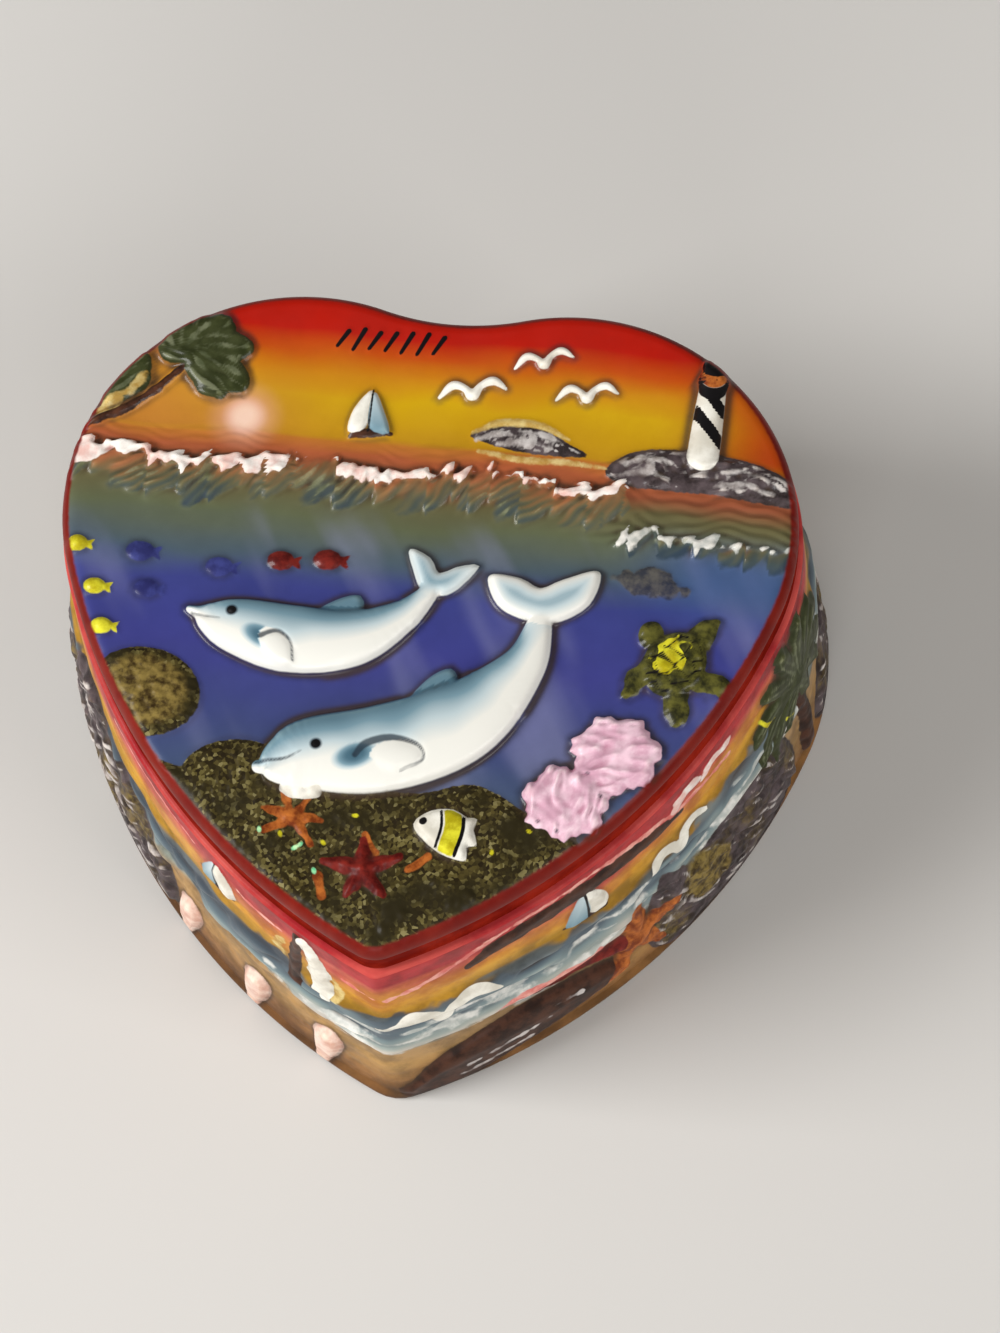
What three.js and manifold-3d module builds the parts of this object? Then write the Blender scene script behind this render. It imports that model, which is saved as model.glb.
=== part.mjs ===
// Heart-shaped cast trinket box: a hollow base with a seaside relief round its wall, and a lift-off lid
// with an underwater relief on its top. Millimetres, +Z up, origin under the middle of the base.
import * as THREE from 'three';
import { mergeVertices } from 'three/addons/utils/BufferGeometryUtils.js';
import Module from 'manifold-3d';

const wasm = await Module();
wasm.setup();

// The heart's outline at the seam, in arcs
const heartWidth = 76;
const tipDrop = 47.65; // from the height of the lobes' centres down to the tip
const lobeRadius = 24.2;
const sideRadius = 67.3;
const cleftRadius = 25.6;
const tipRadius = 1.3;

// The base
const baseHeight = 33.4;
const wallThickness = 4;
const floorThickness = 4;
const footFlare = 3.4; // how far the foot stands out past the seam
const footEdge = 0.5; // the chamfer under the foot
const mouthTipRadius = 3;
const rimRound = 0.4;

// The lid
const lidThickness = 4.7;
const lidTipRadius = 4;
const rimLedge = 0.5; // how far the base's rim shows past the lid
const lidEdgeRound = 1.6;
const stepDepth = 2; // the heart under the lid that drops into the mouth
const stepClearance = 0.4;
const seamGap = 0.3;

// The relief
const lidRelief = 2.2; // the dolphins' height above the lid
const wallRelief = 1.5; // the boldest figures' height off the wall
const reliefRoot = 0.7; // how deep each figure is rooted in what carries it
const pictureMargin = 0.2; // flat border between the lid's rounded edge and its relief

// The reliefs are drawn for a heart of these sizes, and stretch with the real one
const drawnWidth = 76;
const drawnLength = 71.85;
const drawnHalfRound = 115.8;
const drawnWallHeight = 33.4;

// How many facets each arc of half the outline takes, from the tip to the cleft
const arcFacets = [2, 8, 12, 3];

const seamHeight = baseHeight + seamGap;
const lidTop = seamHeight + lidThickness;
const heartLength = lobeRadius + tipDrop;
const middleY = (lobeRadius - tipDrop) / 2;

// The right half of a heart as arcs from its tip to its cleft, with any rounding at the tip
function heartArcs(roundedTip) {
  const lobe = new THREE.Vector2(heartWidth / 2 - lobeRadius, 0);
  const tip = new THREE.Vector2(0, tipRadius - tipDrop);
  const toLobe = sideRadius - lobeRadius;
  const toTip = sideRadius - tipRadius;
  const between = tip.clone().sub(lobe);
  const apart = between.length();
  const along = (toLobe ** 2 - toTip ** 2 + apart ** 2) / (2 * apart);
  const across = Math.sqrt(toLobe ** 2 - along ** 2);
  const unit = between.clone().normalize();
  const side = lobe.clone().addScaledVector(unit, along);
  side.addScaledVector(new THREE.Vector2(unit.y, -unit.x), across);
  const roundCentre = side.y - Math.sqrt((sideRadius - roundedTip) ** 2 - side.x ** 2);
  const rounded = new THREE.Vector2(0, roundCentre);
  const cleft = new THREE.Vector2(0, Math.sqrt((lobeRadius + cleftRadius) ** 2 - lobe.x ** 2));
  const heading = (from, to) => Math.atan2(to.y - from.y, to.x - from.x);
  return [
    { centre: rounded, radius: roundedTip, from: -Math.PI / 2, to: heading(side, rounded), out: 1 },
    { centre: side, radius: sideRadius, from: heading(side, rounded), to: heading(side, lobe), out: 1 },
    { centre: lobe, radius: lobeRadius, from: heading(side, lobe), to: heading(lobe, cleft), out: 1 },
    { centre: cleft, radius: cleftRadius, from: heading(cleft, lobe), to: -Math.PI / 2, out: -1 },
  ];
}

const arcLength = (arc) => Math.abs(arc.to - arc.from) * arc.radius;

// A point on the outline's right half, on one arc at a share of its sweep, moved out by an offset
function onArc(arc, share, offset) {
  const angle = arc.from + (arc.to - arc.from) * share;
  const reach = arc.radius + arc.out * offset;
  return new THREE.Vector2(
    arc.centre.x + reach * Math.cos(angle),
    arc.centre.y + reach * Math.sin(angle),
  );
}

// The whole outline, counter-clockwise from the tip
function heartOutline(arcs, offset) {
  const right = [];
  arcs.forEach((arc, index) => {
    for (let step = 0; step < arcFacets[index]; step += 1) {
      right.push(onArc(arc, step / arcFacets[index], offset));
    }
  });
  right.push(onArc(arcs[arcs.length - 1], 1, offset));
  const left = right.slice(1, -1).reverse().map((p) => new THREE.Vector2(-p.x, p.y));
  return [...right, ...left];
}

const boxArcs = heartArcs(tipRadius);
const lidArcs = heartArcs(lidTipRadius);
const mouthArcs = heartArcs(wallThickness + mouthTipRadius);
const halfRound = boxArcs.reduce((sum, arc) => sum + arcLength(arc), 0);

// A point at a distance round the seam from the tip, positive to the right, moved out by an offset
function roundTheBox(distance, offset) {
  let left = Math.min(Math.abs(distance), halfRound);
  let index = 0;
  while (index < boxArcs.length - 1 && left > arcLength(boxArcs[index])) {
    left -= arcLength(boxArcs[index]);
    index += 1;
  }
  const point = onArc(boxArcs[index], Math.min(left / arcLength(boxArcs[index]), 1), offset);
  return new THREE.Vector2(point.x * Math.sign(distance || 1), point.y);
}

// A heart-shaped solid: each level is a height with the outline's offset there
function heartSolid(arcs, levels) {
  const outlines = levels.map((level) => heartOutline(arcs, level.offset));
  const sides = outlines[0].length;
  const profile = levels.map((level) => new THREE.Vector2(1, level.z));
  profile.unshift(new THREE.Vector2(0, levels[0].z));
  profile.push(new THREE.Vector2(0, levels[levels.length - 1].z));
  const solid = new THREE.LatheGeometry(profile, sides);
  const position = solid.getAttribute('position');
  for (let i = 0; i < position.count; i += 1) {
    const level = i % profile.length;
    const turn = Math.floor(i / profile.length) % sides;
    const onAxis = level === 0 || level === profile.length - 1;
    const at = onAxis ? new THREE.Vector2(0, middleY) : outlines[level - 1][turn];
    position.setXYZ(i, at.x, at.y, profile[level].y);
  }
  return toManifold(solid);
}

function toManifold(geometry) {
  const bare = geometry.clone();
  bare.deleteAttribute('normal');
  bare.deleteAttribute('uv');
  const merged = mergeVertices(bare, 1e-4);
  const corners = merged.index.array;
  const kept = [];
  for (let i = 0; i < corners.length; i += 3) {
    const [a, b, c] = [corners[i], corners[i + 1], corners[i + 2]];
    if (a !== b && b !== c && a !== c) kept.push(a, b, c);
  }
  return new wasm.Manifold(new wasm.Mesh({
    numProp: 3,
    vertProperties: new Float32Array(merged.getAttribute('position').array),
    triVerts: new Uint32Array(kept),
  }));
}

const join = (pieces) => pieces.reduce((whole, piece) => whole.add(piece));

function toMesh(solid, name, look) {
  const mesh = solid.getMesh();
  const geometry = new THREE.BufferGeometry();
  geometry.setAttribute('position', new THREE.BufferAttribute(new Float32Array(mesh.vertProperties), 3));
  geometry.setIndex(new THREE.BufferAttribute(new Uint32Array(mesh.triVerts), 1));
  geometry.computeVertexNormals();
  const result = new THREE.Mesh(geometry, new THREE.MeshStandardMaterial(look));
  result.name = name;
  return result;
}

// The relief's figures are made flat: x and y in the picture, z the share of the relief's full height.
// A ridge follows a line of points [x, y, half width], rounded over and tallest at its middle.
function ridge(points, height, { sides = 4, rings = points.length - 1 } = {}) {
  const line = new THREE.CatmullRomCurve3(points.map(([x, y, half]) => new THREE.Vector3(x, y, half)));
  const widest = Math.max(...points.map(([, , half]) => half));
  const body = new THREE.CylinderGeometry(1, 1, 1, sides, rings);
  const position = body.getAttribute('position');
  for (let i = 0; i < position.count; i += 1) {
    const share = THREE.MathUtils.clamp(position.getY(i) + 0.5, 0, 1);
    const middle = line.getPoint(share);
    const half = Math.max(middle.z, 0.05);
    const ahead = line.getTangent(share).setZ(0).normalize();
    const aside = position.getX(i) * half;
    const tall = position.getZ(i) * height * Math.sqrt(half / widest);
    position.setXYZ(i, middle.x + ahead.y * aside, middle.y - ahead.x * aside, tall);
  }
  return body;
}

// A flat-topped figure with a smooth or straight-sided outline
function plate(points, height, { smooth = true, steps = 2, bevel = 0.35 } = {}) {
  const corners = points.map(([x, y]) => new THREE.Vector3(x, y, 0));
  const line = new THREE.CatmullRomCurve3(corners, true, 'centripetal');
  const outline = smooth ? line.getPoints(points.length * steps).slice(0, -1) : corners;
  const body = new THREE.ExtrudeGeometry(new THREE.Shape(outline.map((p) => new THREE.Vector2(p.x, p.y))), {
    depth: 1,
    bevelThickness: 0.3,
    bevelSize: bevel,
    bevelOffset: -bevel,
    bevelSegments: 1,
  });
  const position = body.getAttribute('position');
  for (let i = 0; i < position.count; i += 1) {
    const z = position.getZ(i);
    const top = z > 1.2 ? height : height * 0.75;
    position.setZ(i, z > 0.5 ? top : -1);
  }
  return body;
}

// A rounded mound, optionally turned in the picture's plane
function mound(x, y, halfLong, halfWide, height, turn = 0, detail = 1) {
  const body = new THREE.IcosahedronGeometry(1, detail);
  body.scale(halfLong, halfWide, height);
  body.rotateZ(turn);
  body.translate(x, y, 0);
  return body;
}

// A repeatable spread of values between 0 and 1 for uneven rocks and fronds
const uneven = (n) => {
  const value = Math.sin(n * 127.1 + 11.7) * 43758.5453;
  return value - Math.floor(value);
};

function rocks(left, right, low, high, count, height, seed) {
  return Array.from({ length: count }, (unused, i) => {
    const share = (i + 0.5) / count;
    const x = left + (right - left) * share;
    const y = low + (high - low) * uneven(seed + i);
    const size = ((right - left) / count) * (0.75 + 0.35 * uneven(seed + i + 50));
    const wide = size * (0.5 + 0.25 * uneven(seed + i + 90));
    return mound(x, y, size, wide, height * (0.7 + 0.3 * uneven(seed + i + 30)), uneven(seed + i) - 0.5, 0);
  });
}

function gull(x, y, span, height, tilt = 0) {
  const half = span / 2;
  const wing = span * 0.075;
  const flap = [
    [-half, -0.13 * span, 0.3 * wing],
    [-0.55 * half, 0.06 * span, wing],
    [0, -0.12 * span, 1.25 * wing],
    [0.6 * half, 0.14 * span, wing],
    [half, 0.02 * span, 0.3 * wing],
  ];
  const placed = flap.map(([a, b, w]) => [
    x + a * Math.cos(tilt) - b * Math.sin(tilt),
    y + a * Math.sin(tilt) + b * Math.cos(tilt),
    w,
  ]);
  return ridge(placed, height);
}

function sailboat(x, y, tall, height) {
  const sailEdge = { smooth: false, bevel: 0.2 };
  const at = (a, b) => [x + a * tall, y + b * tall];
  return [
    plate([at(-0.38, 0.14), at(-0.3, 0.6), at(0.03, 1), at(-0.06, 0.2)], height, sailEdge),
    plate([at(-0.02, 0.2), at(0.05, 0.95), at(0.25, 0.6), at(0.36, 0.14)], height * 0.9, sailEdge),
    ridge([[...at(-0.32, 0.05), 0.03 * tall], [...at(0, 0.1), 0.1 * tall], [...at(0.36, 0.14), 0.03 * tall]],
      height * 0.7, { rings: 3 }),
  ];
}

function palm(root, crown, trunkWidth, fronds, height) {
  const bend = [(root[0] * 2 + crown[0]) / 3, (root[1] * 2 + crown[1]) / 3 - trunkWidth * 0.6];
  const trunk = ridge([[...root, trunkWidth], [...bend, trunkWidth * 0.8], [...crown, trunkWidth * 0.6]],
    height * 0.8);
  const leaves = fronds.map(([turn, reach, droop]) => {
    const angle = THREE.MathUtils.degToRad(turn);
    const ahead = [Math.cos(angle) * reach, Math.sin(angle) * reach];
    return ridge([
      [...crown, 0.16 * reach],
      [crown[0] + ahead[0] * 0.5, crown[1] + ahead[1] * 0.5 + droop * 0.25, 0.3 * reach],
      [crown[0] + ahead[0] * 0.85, crown[1] + ahead[1] * 0.85 - droop * 0.2, 0.24 * reach],
      [crown[0] + ahead[0], crown[1] + ahead[1] - droop, 0.05],
    ], height);
  });
  return [trunk, ...leaves];
}

function starfish(x, y, reach, height, turn) {
  return Array.from({ length: 5 }, (unused, arm) => {
    const angle = turn + (arm * 2 * Math.PI) / 5;
    const tip = [x + Math.cos(angle) * reach, y + Math.sin(angle) * reach];
    return ridge([[x, y, 0.3 * reach], [...tip, 0.08 * reach]], height);
  });
}

// A small fish in one ridge: a round body that narrows before its tail
function fish(x, y, long, height) {
  return ridge([
    [x - 0.42 * long, y, 0.08 * long],
    [x - 0.1 * long, y, 0.3 * long],
    [x + 0.3 * long, y, 0.12 * long],
    [x + 0.46 * long, y, 0.24 * long],
  ], height);
}

// A leaping dolphin: a body along its spine, two tail flukes, a back fin and a breast fin
function dolphin({ spine, flukes, backFin, breastFin }, height) {
  return [
    ridge(spine, height, { sides: 8, rings: 10 }),
    plate(flukes, height * 0.5, { bevel: 0.3 }),
    plate(backFin, height * 0.42, { bevel: 0.2 }),
    ridge(breastFin, height * 1.1),
  ];
}

const smallDolphin = {
  spine: [
    [-22.4, -12.7, 0.5], [-18, -13.6, 2.1], [-11.5, -15.1, 3.4],
    [-4.5, -14.2, 2.7], [0.4, -10.4, 1.3], [1.8, -7.6, 0.8],
  ],
  flukes: [
    [0.6, -8.8], [-0.6, -6.6], [-1.3, -4.2], [0.9, -5], [2, -6.6],
    [3.6, -5.8], [5.9, -5.4], [4.2, -8], [2.6, -9],
  ],
  backFin: [[-10, -12.2], [-8, -10.6], [-5.8, -9.9], [-5.6, -11.8]],
  breastFin: [[-15, -14.8, 0.5], [-13.2, -16, 1.1], [-11.3, -17.4, 0.4]],
};

const largeDolphin = {
  spine: [
    [-13.5, -28.6, 0.7], [-9, -27.2, 3], [-1.5, -25.8, 4.6],
    [6, -22.3, 4.2], [11.4, -16, 2.3], [12.8, -10.4, 1.1],
  ],
  flukes: [
    [11.2, -10.9], [8.2, -9.5], [7, -6.4], [10.2, -6.4], [12.3, -7.3],
    [14.4, -6.2], [18, -5], [17.4, -8.6], [14.2, -10.9],
  ],
  backFin: [[0.2, -21.6], [2, -18.2], [4.4, -16.7], [5.6, -18.8], [5, -20.6]],
  breastFin: [[-4, -26.4, 0.5], [-1, -26.9, 1.5], [2.4, -27, 0.5]],
};

// A long seashell standing on its narrow end
function shell(x, y, tall, height) {
  return ridge([
    [x - 0.07 * tall, y, 0.07 * tall],
    [x, y + 0.33 * tall, 0.23 * tall],
    [x + 0.05 * tall, y + 0.77 * tall, 0.17 * tall],
    [x + 0.09 * tall, y + tall, 0.04 * tall],
  ], height, { sides: 6 });
}

// Ruffled coral fans, each a scalloped plate
function coralFan(x, y, reach, scallops, height) {
  const edge = Array.from({ length: scallops * 2 }, (unused, i) => {
    const angle = (i * Math.PI) / scallops;
    const out = reach * (i % 2 ? 0.84 : 1);
    return [x + Math.cos(angle) * out, y + Math.sin(angle) * out * 0.92];
  });
  return plate(edge, height, { bevel: 0.4, steps: 1 });
}

// Curling waves: a long crest line with hooked curls hanging below it
function breakers(left, right, crest, curls, height) {
  const line = (x) => crest + 0.8 * Math.sin(x * 0.32) + 0.35 * Math.sin(x * 0.9 + 1);
  const posts = 14;
  const top = Array.from({ length: posts }, (unused, i) => {
    const x = left + ((right - left) * i) / (posts - 1);
    return [x, line(x), 0.55 + 0.2 * uneven(i)];
  });
  const hooks = Array.from({ length: curls }, (unused, i) => {
    const x = left + ((right - left) * (i + 0.6)) / curls;
    const drop = 2.6 + 1.2 * uneven(i + 7);
    return ridge([
      [x + 1.1, line(x) - 0.2, 0.3],
      [x + 0.3, line(x) - drop * 0.45, 0.55],
      [x - 1.6, line(x) - drop, 0.2],
    ], height * 0.7);
  });
  return [ridge(top, height, { rings: 9 }), ...hooks];
}

// A row of slanted strokes where the lid carries a line of writing
function strokes(x, y, long, count, height) {
  return Array.from({ length: count }, (unused, i) => {
    const at = x + (long * (i + 0.5)) / count;
    const tall = 1.1 + 0.5 * uneven(i + 3);
    return ridge([[at - 0.35, y - tall / 2, 0.16], [at + 0.35, y + tall / 2, 0.2]], height, { rings: 1 });
  });
}

function lighthouse(x, y, tall, height) {
  const lean = 0.06;
  const at = (share, half) => [x + share * tall * lean, y + share * tall, half * tall];
  return [
    ridge([at(0, 0.15), at(0.4, 0.135), at(0.76, 0.115)], height, { sides: 6, rings: 2 }),
    ridge([at(0.7, 0.14), at(0.78, 0.15)], height * 1.05, { sides: 6, rings: 1 }),
    ridge([at(0.76, 0.1), at(0.9, 0.1)], height * 0.85, { sides: 6, rings: 1 }),
    ridge([at(0.88, 0.13), at(0.95, 0.1), at(1.02, 0.02)], height * 0.95, { sides: 6, rings: 2 }),
  ];
}

function turtle(x, y, size, height) {
  const flipper = (a, b, c, d) => ridge([
    [x + a * size, y + b * size, 0.2 * size],
    [x + (a + c) * size * 0.55, y + (b + d) * size * 0.55, 0.2 * size],
    [x + c * size, y + d * size, 0.06 * size],
  ], height * 0.6);
  return [
    mound(x, y, 0.62 * size, 0.82 * size, height, 0.5),
    mound(x - 0.62 * size, y + 0.78 * size, 0.3 * size, 0.38 * size, height * 0.8, 0.6),
    flipper(0.3, 0.4, 0.95, 1.25),
    flipper(-0.4, 0.1, -1.05, -0.95),
    flipper(0.4, -0.3, 1.45, -0.7),
    flipper(0.1, -0.6, 0.55, -1.5),
  ];
}

// The lid's picture, from the sky at the top down to the sea floor at the tip
function lidFigures() {
  const mainFronds = [[170, 5.2, 0.6], [208, 4.8, 0.4], [108, 4.6, -0.2], [50, 4.8, 0.4], [2, 5.2, 1.2],
    [312, 5.2, 0.6]];
  const sideFronds = [[90, 4.2, 0.3], [45, 3.2, 0.4], [250, 4, -0.2]];
  const seaFloor = [[-33, -24], [-21, -29.6], [-14.5, -26.6], [-8, -30], [2, -30.2], [8, -28.8], [13, -31],
    [19, -35], [10, -46], [0, -52], [-12, -46]];
  const stones = [[2, -42.8, 3], [-4.5, -44.4, 2.1], [5.8, -39.4, 2], [-9, -40, 1.8]];
  const smallFish = [[-34.8, -6.5, 2.8], [-32.3, -11, 2.8], [-31, -15.2, 2.8], [-28.2, -6.8, 4.2],
    [-20, -7.8, 4.2], [-27, -10.8, 3.8], [-14, -6.6, 3.6], [-9.3, -6.1, 3.6]];
  return [
    ...palm([-36.8, 6.2], [-25.2, 16.2], 0.9, mainFronds, 0.55),
    ...palm([-33.4, 9.4], [-32.4, 11.9], 0.5, sideFronds, 0.5),
    ...sailboat(-7.1, 7.4, 5.6, 0.4),
    gull(3, 14, 7, 0.32, 0.08),
    gull(9.9, 18, 6.2, 0.32, 0.1),
    gull(14.6, 14.6, 6.4, 0.32, 0.02),
    ...strokes(-11.8, 18.6, 11.6, 7, 0.1),
    ...lighthouse(27.1, 8.4, 10.9, 0.55),
    ...rocks(19, 36, 5.6, 8, 7, 0.5, 4),
    ...rocks(5, 14.5, 8.4, 9.4, 3, 0.22, 21),
    ...breakers(-37, 19, 4, 8, 0.36),
    ...breakers(20, 36.5, -1.6, 2, 0.3),
    ridge([[19, 3.4, 0.4], [25, 2.4, 0.9], [31, 3, 0.8], [36.4, 1.6, 0.4]], 0.24),
    ...smallFish.map(([x, y, long]) => fish(x, y, long, 0.22)),
    ...dolphin(smallDolphin, 0.85),
    ...dolphin(largeDolphin, 1),
    ...turtle(26, -14.2, 3.6, 0.5),
    mound(23.2, -5.8, 3.2, 1.4, 0.18, 0, 0),
    coralFan(20.9, -24.6, 5.2, 9, 0.62),
    coralFan(16.6, -29.9, 4.3, 8, 0.7),
    mound(-26, -21.8, 6, 4.8, 0.5, -0.15),
    mound(-15.4, -30, 5.8, 4.2, 0.4, 0.1),
    plate(seaFloor, 0.22, { steps: 1, bevel: 0.6 }),
    plate([[2.8, -33.4], [4.4, -31.7], [6.8, -31.7], [8.6, -32.6], [8.9, -34.8], [7.6, -36.3], [5.2, -36]],
      0.55),
    ...starfish(-1.8, -38.8, 4, 0.5, 1.6),
    ...starfish(-9.4, -33, 3, 0.42, 0.5),
    ...stones.map(([x, y, size]) => mound(x, y, size, size * 0.72, 0.42, uneven(x), 0)),
  ];
}

// The picture round the wall: x is the distance from the tip, positive to the right, y the height
function wallFigures() {
  const crown = [[170, 7, 1.5], [125, 7, 0.5], [80, 7.5, 0.3], [40, 7, 0.6], [0, 7, 1.5], [310, 6.5, 1]];
  const shells = [-27, -16.5, -7, 80, -84, 103];
  return [
    ridge([[1.2, 3.2, 2.4], [7, 5.4, 4.2], [15, 6.4, 4.8], [24, 5.6, 2.8]], 0.95, { sides: 8, rings: 6 }),
    ridge([[1.6, 10, 1], [7, 11.8, 0.8], [14, 13.4, 0.8], [23, 13, 0.7]], 0.5),
    gull(5.8, 20, 12.4, 0.4, -0.05),
    gull(35, 21.8, 8.4, 0.35, 0.05),
    gull(-94, 26, 10, 0.35, 0.1),
    ridge([[9.5, 26.6, 0.5], [14, 29.4, 1.3], [22, 29.6, 1.5], [30, 28.4, 1.2], [36, 27.2, 0.4]], 0.35),
    ...sailboat(23.2, 22.6, 6.4, 0.45),
    ...starfish(27.6, 9.4, 5.6, 0.8, 1.4),
    ...starfish(-92, 8, 4.6, 0.6, 0.3),
    ...rocks(31, 52, 5, 12.5, 6, 1, 61),
    ...rocks(33, 50, 2.5, 5, 3, 0.9, 71),
    ...palm([57, 3], [56, 20], 1.3, crown, 0.9),
    ...rocks(64, 76, 3, 9, 2, 0.8, 83),
    ...palm([-66, 3], [-70, 20], 1.3, crown, 0.8),
    ...rocks(-62, -31, 8, 20, 6, 1, 97),
    ...rocks(-60, -33, 3, 9, 3, 0.9, 117),
    ...shells.map((x) => shell(x, 0.8, 8.6, 0.85)),
    ridge([[-9.9, 19, 0.8], [-9.6, 25, 0.6], [-9, 31, 0.5]], 0.5),
    ridge([[-6.2, 19.6, 0.7], [-6.8, 23.5, 1.8], [-7.6, 27.5, 1.4], [-8.4, 31.4, 0.6]], 0.6, { sides: 6 }),
    ridge([[-10.6, 22.6, 0.4], [-12, 24.4, 1], [-11.2, 28, 0.4]], 0.4),
    plate([[-23, 26], [-22.4, 30.4], [-20, 33], [-18.8, 29], [-19.4, 25.6]], 0.4),
    ...breakers(2, 108, 16.4, 5, 0.35),
    ...breakers(-112, -2, 15.6, 4, 0.3),
  ];
}

// How far the wall stands out past the seam at a height
function wallOffset(height) {
  const share = THREE.MathUtils.clamp(1 - height / baseHeight, 0, 1);
  return footFlare * 0.86 * share ** 1.5;
}

// Moves each vertex of a figure, its height first turned from a share into millimetres
function place(figure, fullHeight, move) {
  const position = figure.getAttribute('position');
  for (let i = 0; i < position.count; i += 1) {
    const share = position.getZ(i);
    const tall = share > 0.001 ? share * fullHeight : Math.max(share - 0.1, -1) * reliefRoot;
    const at = move(position.getX(i), position.getY(i), tall);
    position.setXYZ(i, at.x, at.y, at.z);
  }
  return toManifold(figure);
}

function placeOnLid(figure) {
  return place(figure, lidRelief, (x, y, tall) => new THREE.Vector3(
    (x * heartWidth) / drawnWidth,
    (y * heartLength) / drawnLength,
    lidTop + tall,
  ));
}

function placeOnWall(figure) {
  return place(figure, wallRelief, (x, y, tall) => {
    const height = THREE.MathUtils.clamp((y * baseHeight) / drawnWallHeight, footEdge, baseHeight - rimRound);
    const point = roundTheBox((x * halfRound) / drawnHalfRound, wallOffset(height) + tall);
    return new THREE.Vector3(point.x, point.y, height);
  });
}

function makeLid() {
  const side = -rimLedge;
  const rounding = [0, 0.5, 1].map((share) => ({
    z: lidTop - lidEdgeRound * (1 - Math.sin((share * Math.PI) / 2)),
    offset: side - lidEdgeRound * (1 - Math.cos((share * Math.PI) / 2)),
  }));
  const slab = heartSolid(lidArcs, [
    { z: seamHeight, offset: side - rimRound },
    { z: seamHeight + rimRound, offset: side },
    ...rounding,
  ]);
  const stepInset = wallThickness + stepClearance;
  const step = heartSolid(mouthArcs, [
    { z: seamHeight - stepDepth, offset: -stepInset - rimRound },
    { z: seamHeight - stepDepth + rimRound, offset: -stepInset },
    { z: seamHeight + lidThickness / 2, offset: -stepInset },
  ]);
  const pictureEdge = side - lidEdgeRound - pictureMargin;
  const frame = heartSolid(lidArcs, [
    { z: seamHeight + lidThickness / 2, offset: pictureEdge },
    { z: lidTop + lidRelief * 2, offset: pictureEdge },
  ]);
  const picture = join(lidFigures().map(placeOnLid)).intersect(frame);
  return slab.add(step).add(picture);
}

function makeBase() {
  const levels = [0.2, 0.4, 0.65].map((share) => ({
    z: share * baseHeight,
    offset: wallOffset(share * baseHeight),
  }));
  const body = heartSolid(boxArcs, [
    { z: 0, offset: footFlare - footEdge },
    { z: footEdge, offset: footFlare },
    { z: footEdge * 3, offset: footFlare },
    ...levels,
    { z: baseHeight - rimRound, offset: 0 },
    { z: baseHeight, offset: -rimRound },
  ]);
  const limit = heartSolid(boxArcs, [
    { z: 0, offset: footFlare },
    { z: baseHeight, offset: footFlare },
  ]);
  const hollow = heartSolid(mouthArcs, [
    { z: floorThickness, offset: -wallThickness },
    { z: baseHeight * 2, offset: -wallThickness },
  ]);
  const relief = join(wallFigures().map(placeOnWall)).intersect(limit);
  return body.add(relief).subtract(hollow);
}

const trinketBox = new THREE.Group();
trinketBox.add(
  toMesh(makeBase(), 'box_base', { color: 0xb9673c, roughness: 0.3, metalness: 0 }),
  toMesh(makeLid(), 'lid', { color: 0x4a4f8c, roughness: 0.25, metalness: 0 }),
);
trinketBox.position.y = -middleY;

export default trinketBox;
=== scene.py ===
"""Heart-shaped cast trinket box: a base and a lift-off lid, each one moulded and painted piece.

Both reliefs are drawn flat, in millimetres, as raised areas on a fine sheet of points. The lid's sheet is
laid over its heart-shaped top, and the wall's sheet is wrapped round the base. Each painted area is kept
as its distance from the area's edge, and the materials turn those distances into paint.
"""
import math

import bpy
import numpy as np
from bpy.props import FloatProperty, FloatVectorProperty, IntProperty, PointerProperty
from mathutils import Matrix, Vector


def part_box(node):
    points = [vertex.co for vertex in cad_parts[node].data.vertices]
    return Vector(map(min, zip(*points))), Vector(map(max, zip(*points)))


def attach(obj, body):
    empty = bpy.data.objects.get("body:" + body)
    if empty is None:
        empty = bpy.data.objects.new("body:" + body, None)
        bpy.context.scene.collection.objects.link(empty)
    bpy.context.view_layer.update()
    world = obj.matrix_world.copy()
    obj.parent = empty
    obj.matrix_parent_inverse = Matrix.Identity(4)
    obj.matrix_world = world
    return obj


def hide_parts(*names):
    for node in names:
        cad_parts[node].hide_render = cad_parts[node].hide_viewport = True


bl_info = {
    "name": "Heart trinket box",
    "version": (1, 0, 0),
    "blender": (4, 5, 0),
    "location": "3D View > Sidebar > Trinket Box",
    "description": "Makes a heart-shaped cast trinket box with painted seaside reliefs",
    "category": "Add Mesh",
}

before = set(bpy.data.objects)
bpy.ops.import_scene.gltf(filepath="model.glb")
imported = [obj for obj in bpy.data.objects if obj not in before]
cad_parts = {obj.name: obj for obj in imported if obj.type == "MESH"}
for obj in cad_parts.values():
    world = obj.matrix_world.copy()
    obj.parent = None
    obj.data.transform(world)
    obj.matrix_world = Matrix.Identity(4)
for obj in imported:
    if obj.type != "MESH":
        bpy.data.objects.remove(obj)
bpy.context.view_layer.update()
BASE_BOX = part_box("box_base")
LID_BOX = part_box("lid")

MM = 0.001
BODY = "root"

# The heart that the reliefs are drawn on, in millimetres
DRAWN_WIDTH = 76.0
DRAWN_HALF_ROUND = 115.8
DRAWN_WALL = 33.4
LOBE_RADIUS = 24.2
SIDE_RADIUS = 67.3
CLEFT_RADIUS = 25.6
TIP_RADIUS = 1.3
TIP_DROP = 47.65
LID_TIP_RADIUS = 4.0
MIDDLE_Y = (LOBE_RADIUS - TIP_DROP) / 2

# A painted area's distance where its figure isn't near, and how far round a figure distances are worked out
FAR = 6.0
REACH = 1.6

# Large odd numbers that turn a place into an uneven but repeatable value
MIX_X, MIX_Y, MIX_Z, MIX_SEED = 374761393, 668265263, 1274126177, 974634777

# How wide the slope is at a figure's foot
FOOT_RAMP = 0.42

# Rows of the lid's sheet on its rounded edge, and the angle round the edge where its red paint starts
EDGE_CELLS = 8
RIM_PAINT_FROM = 0.5

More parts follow.
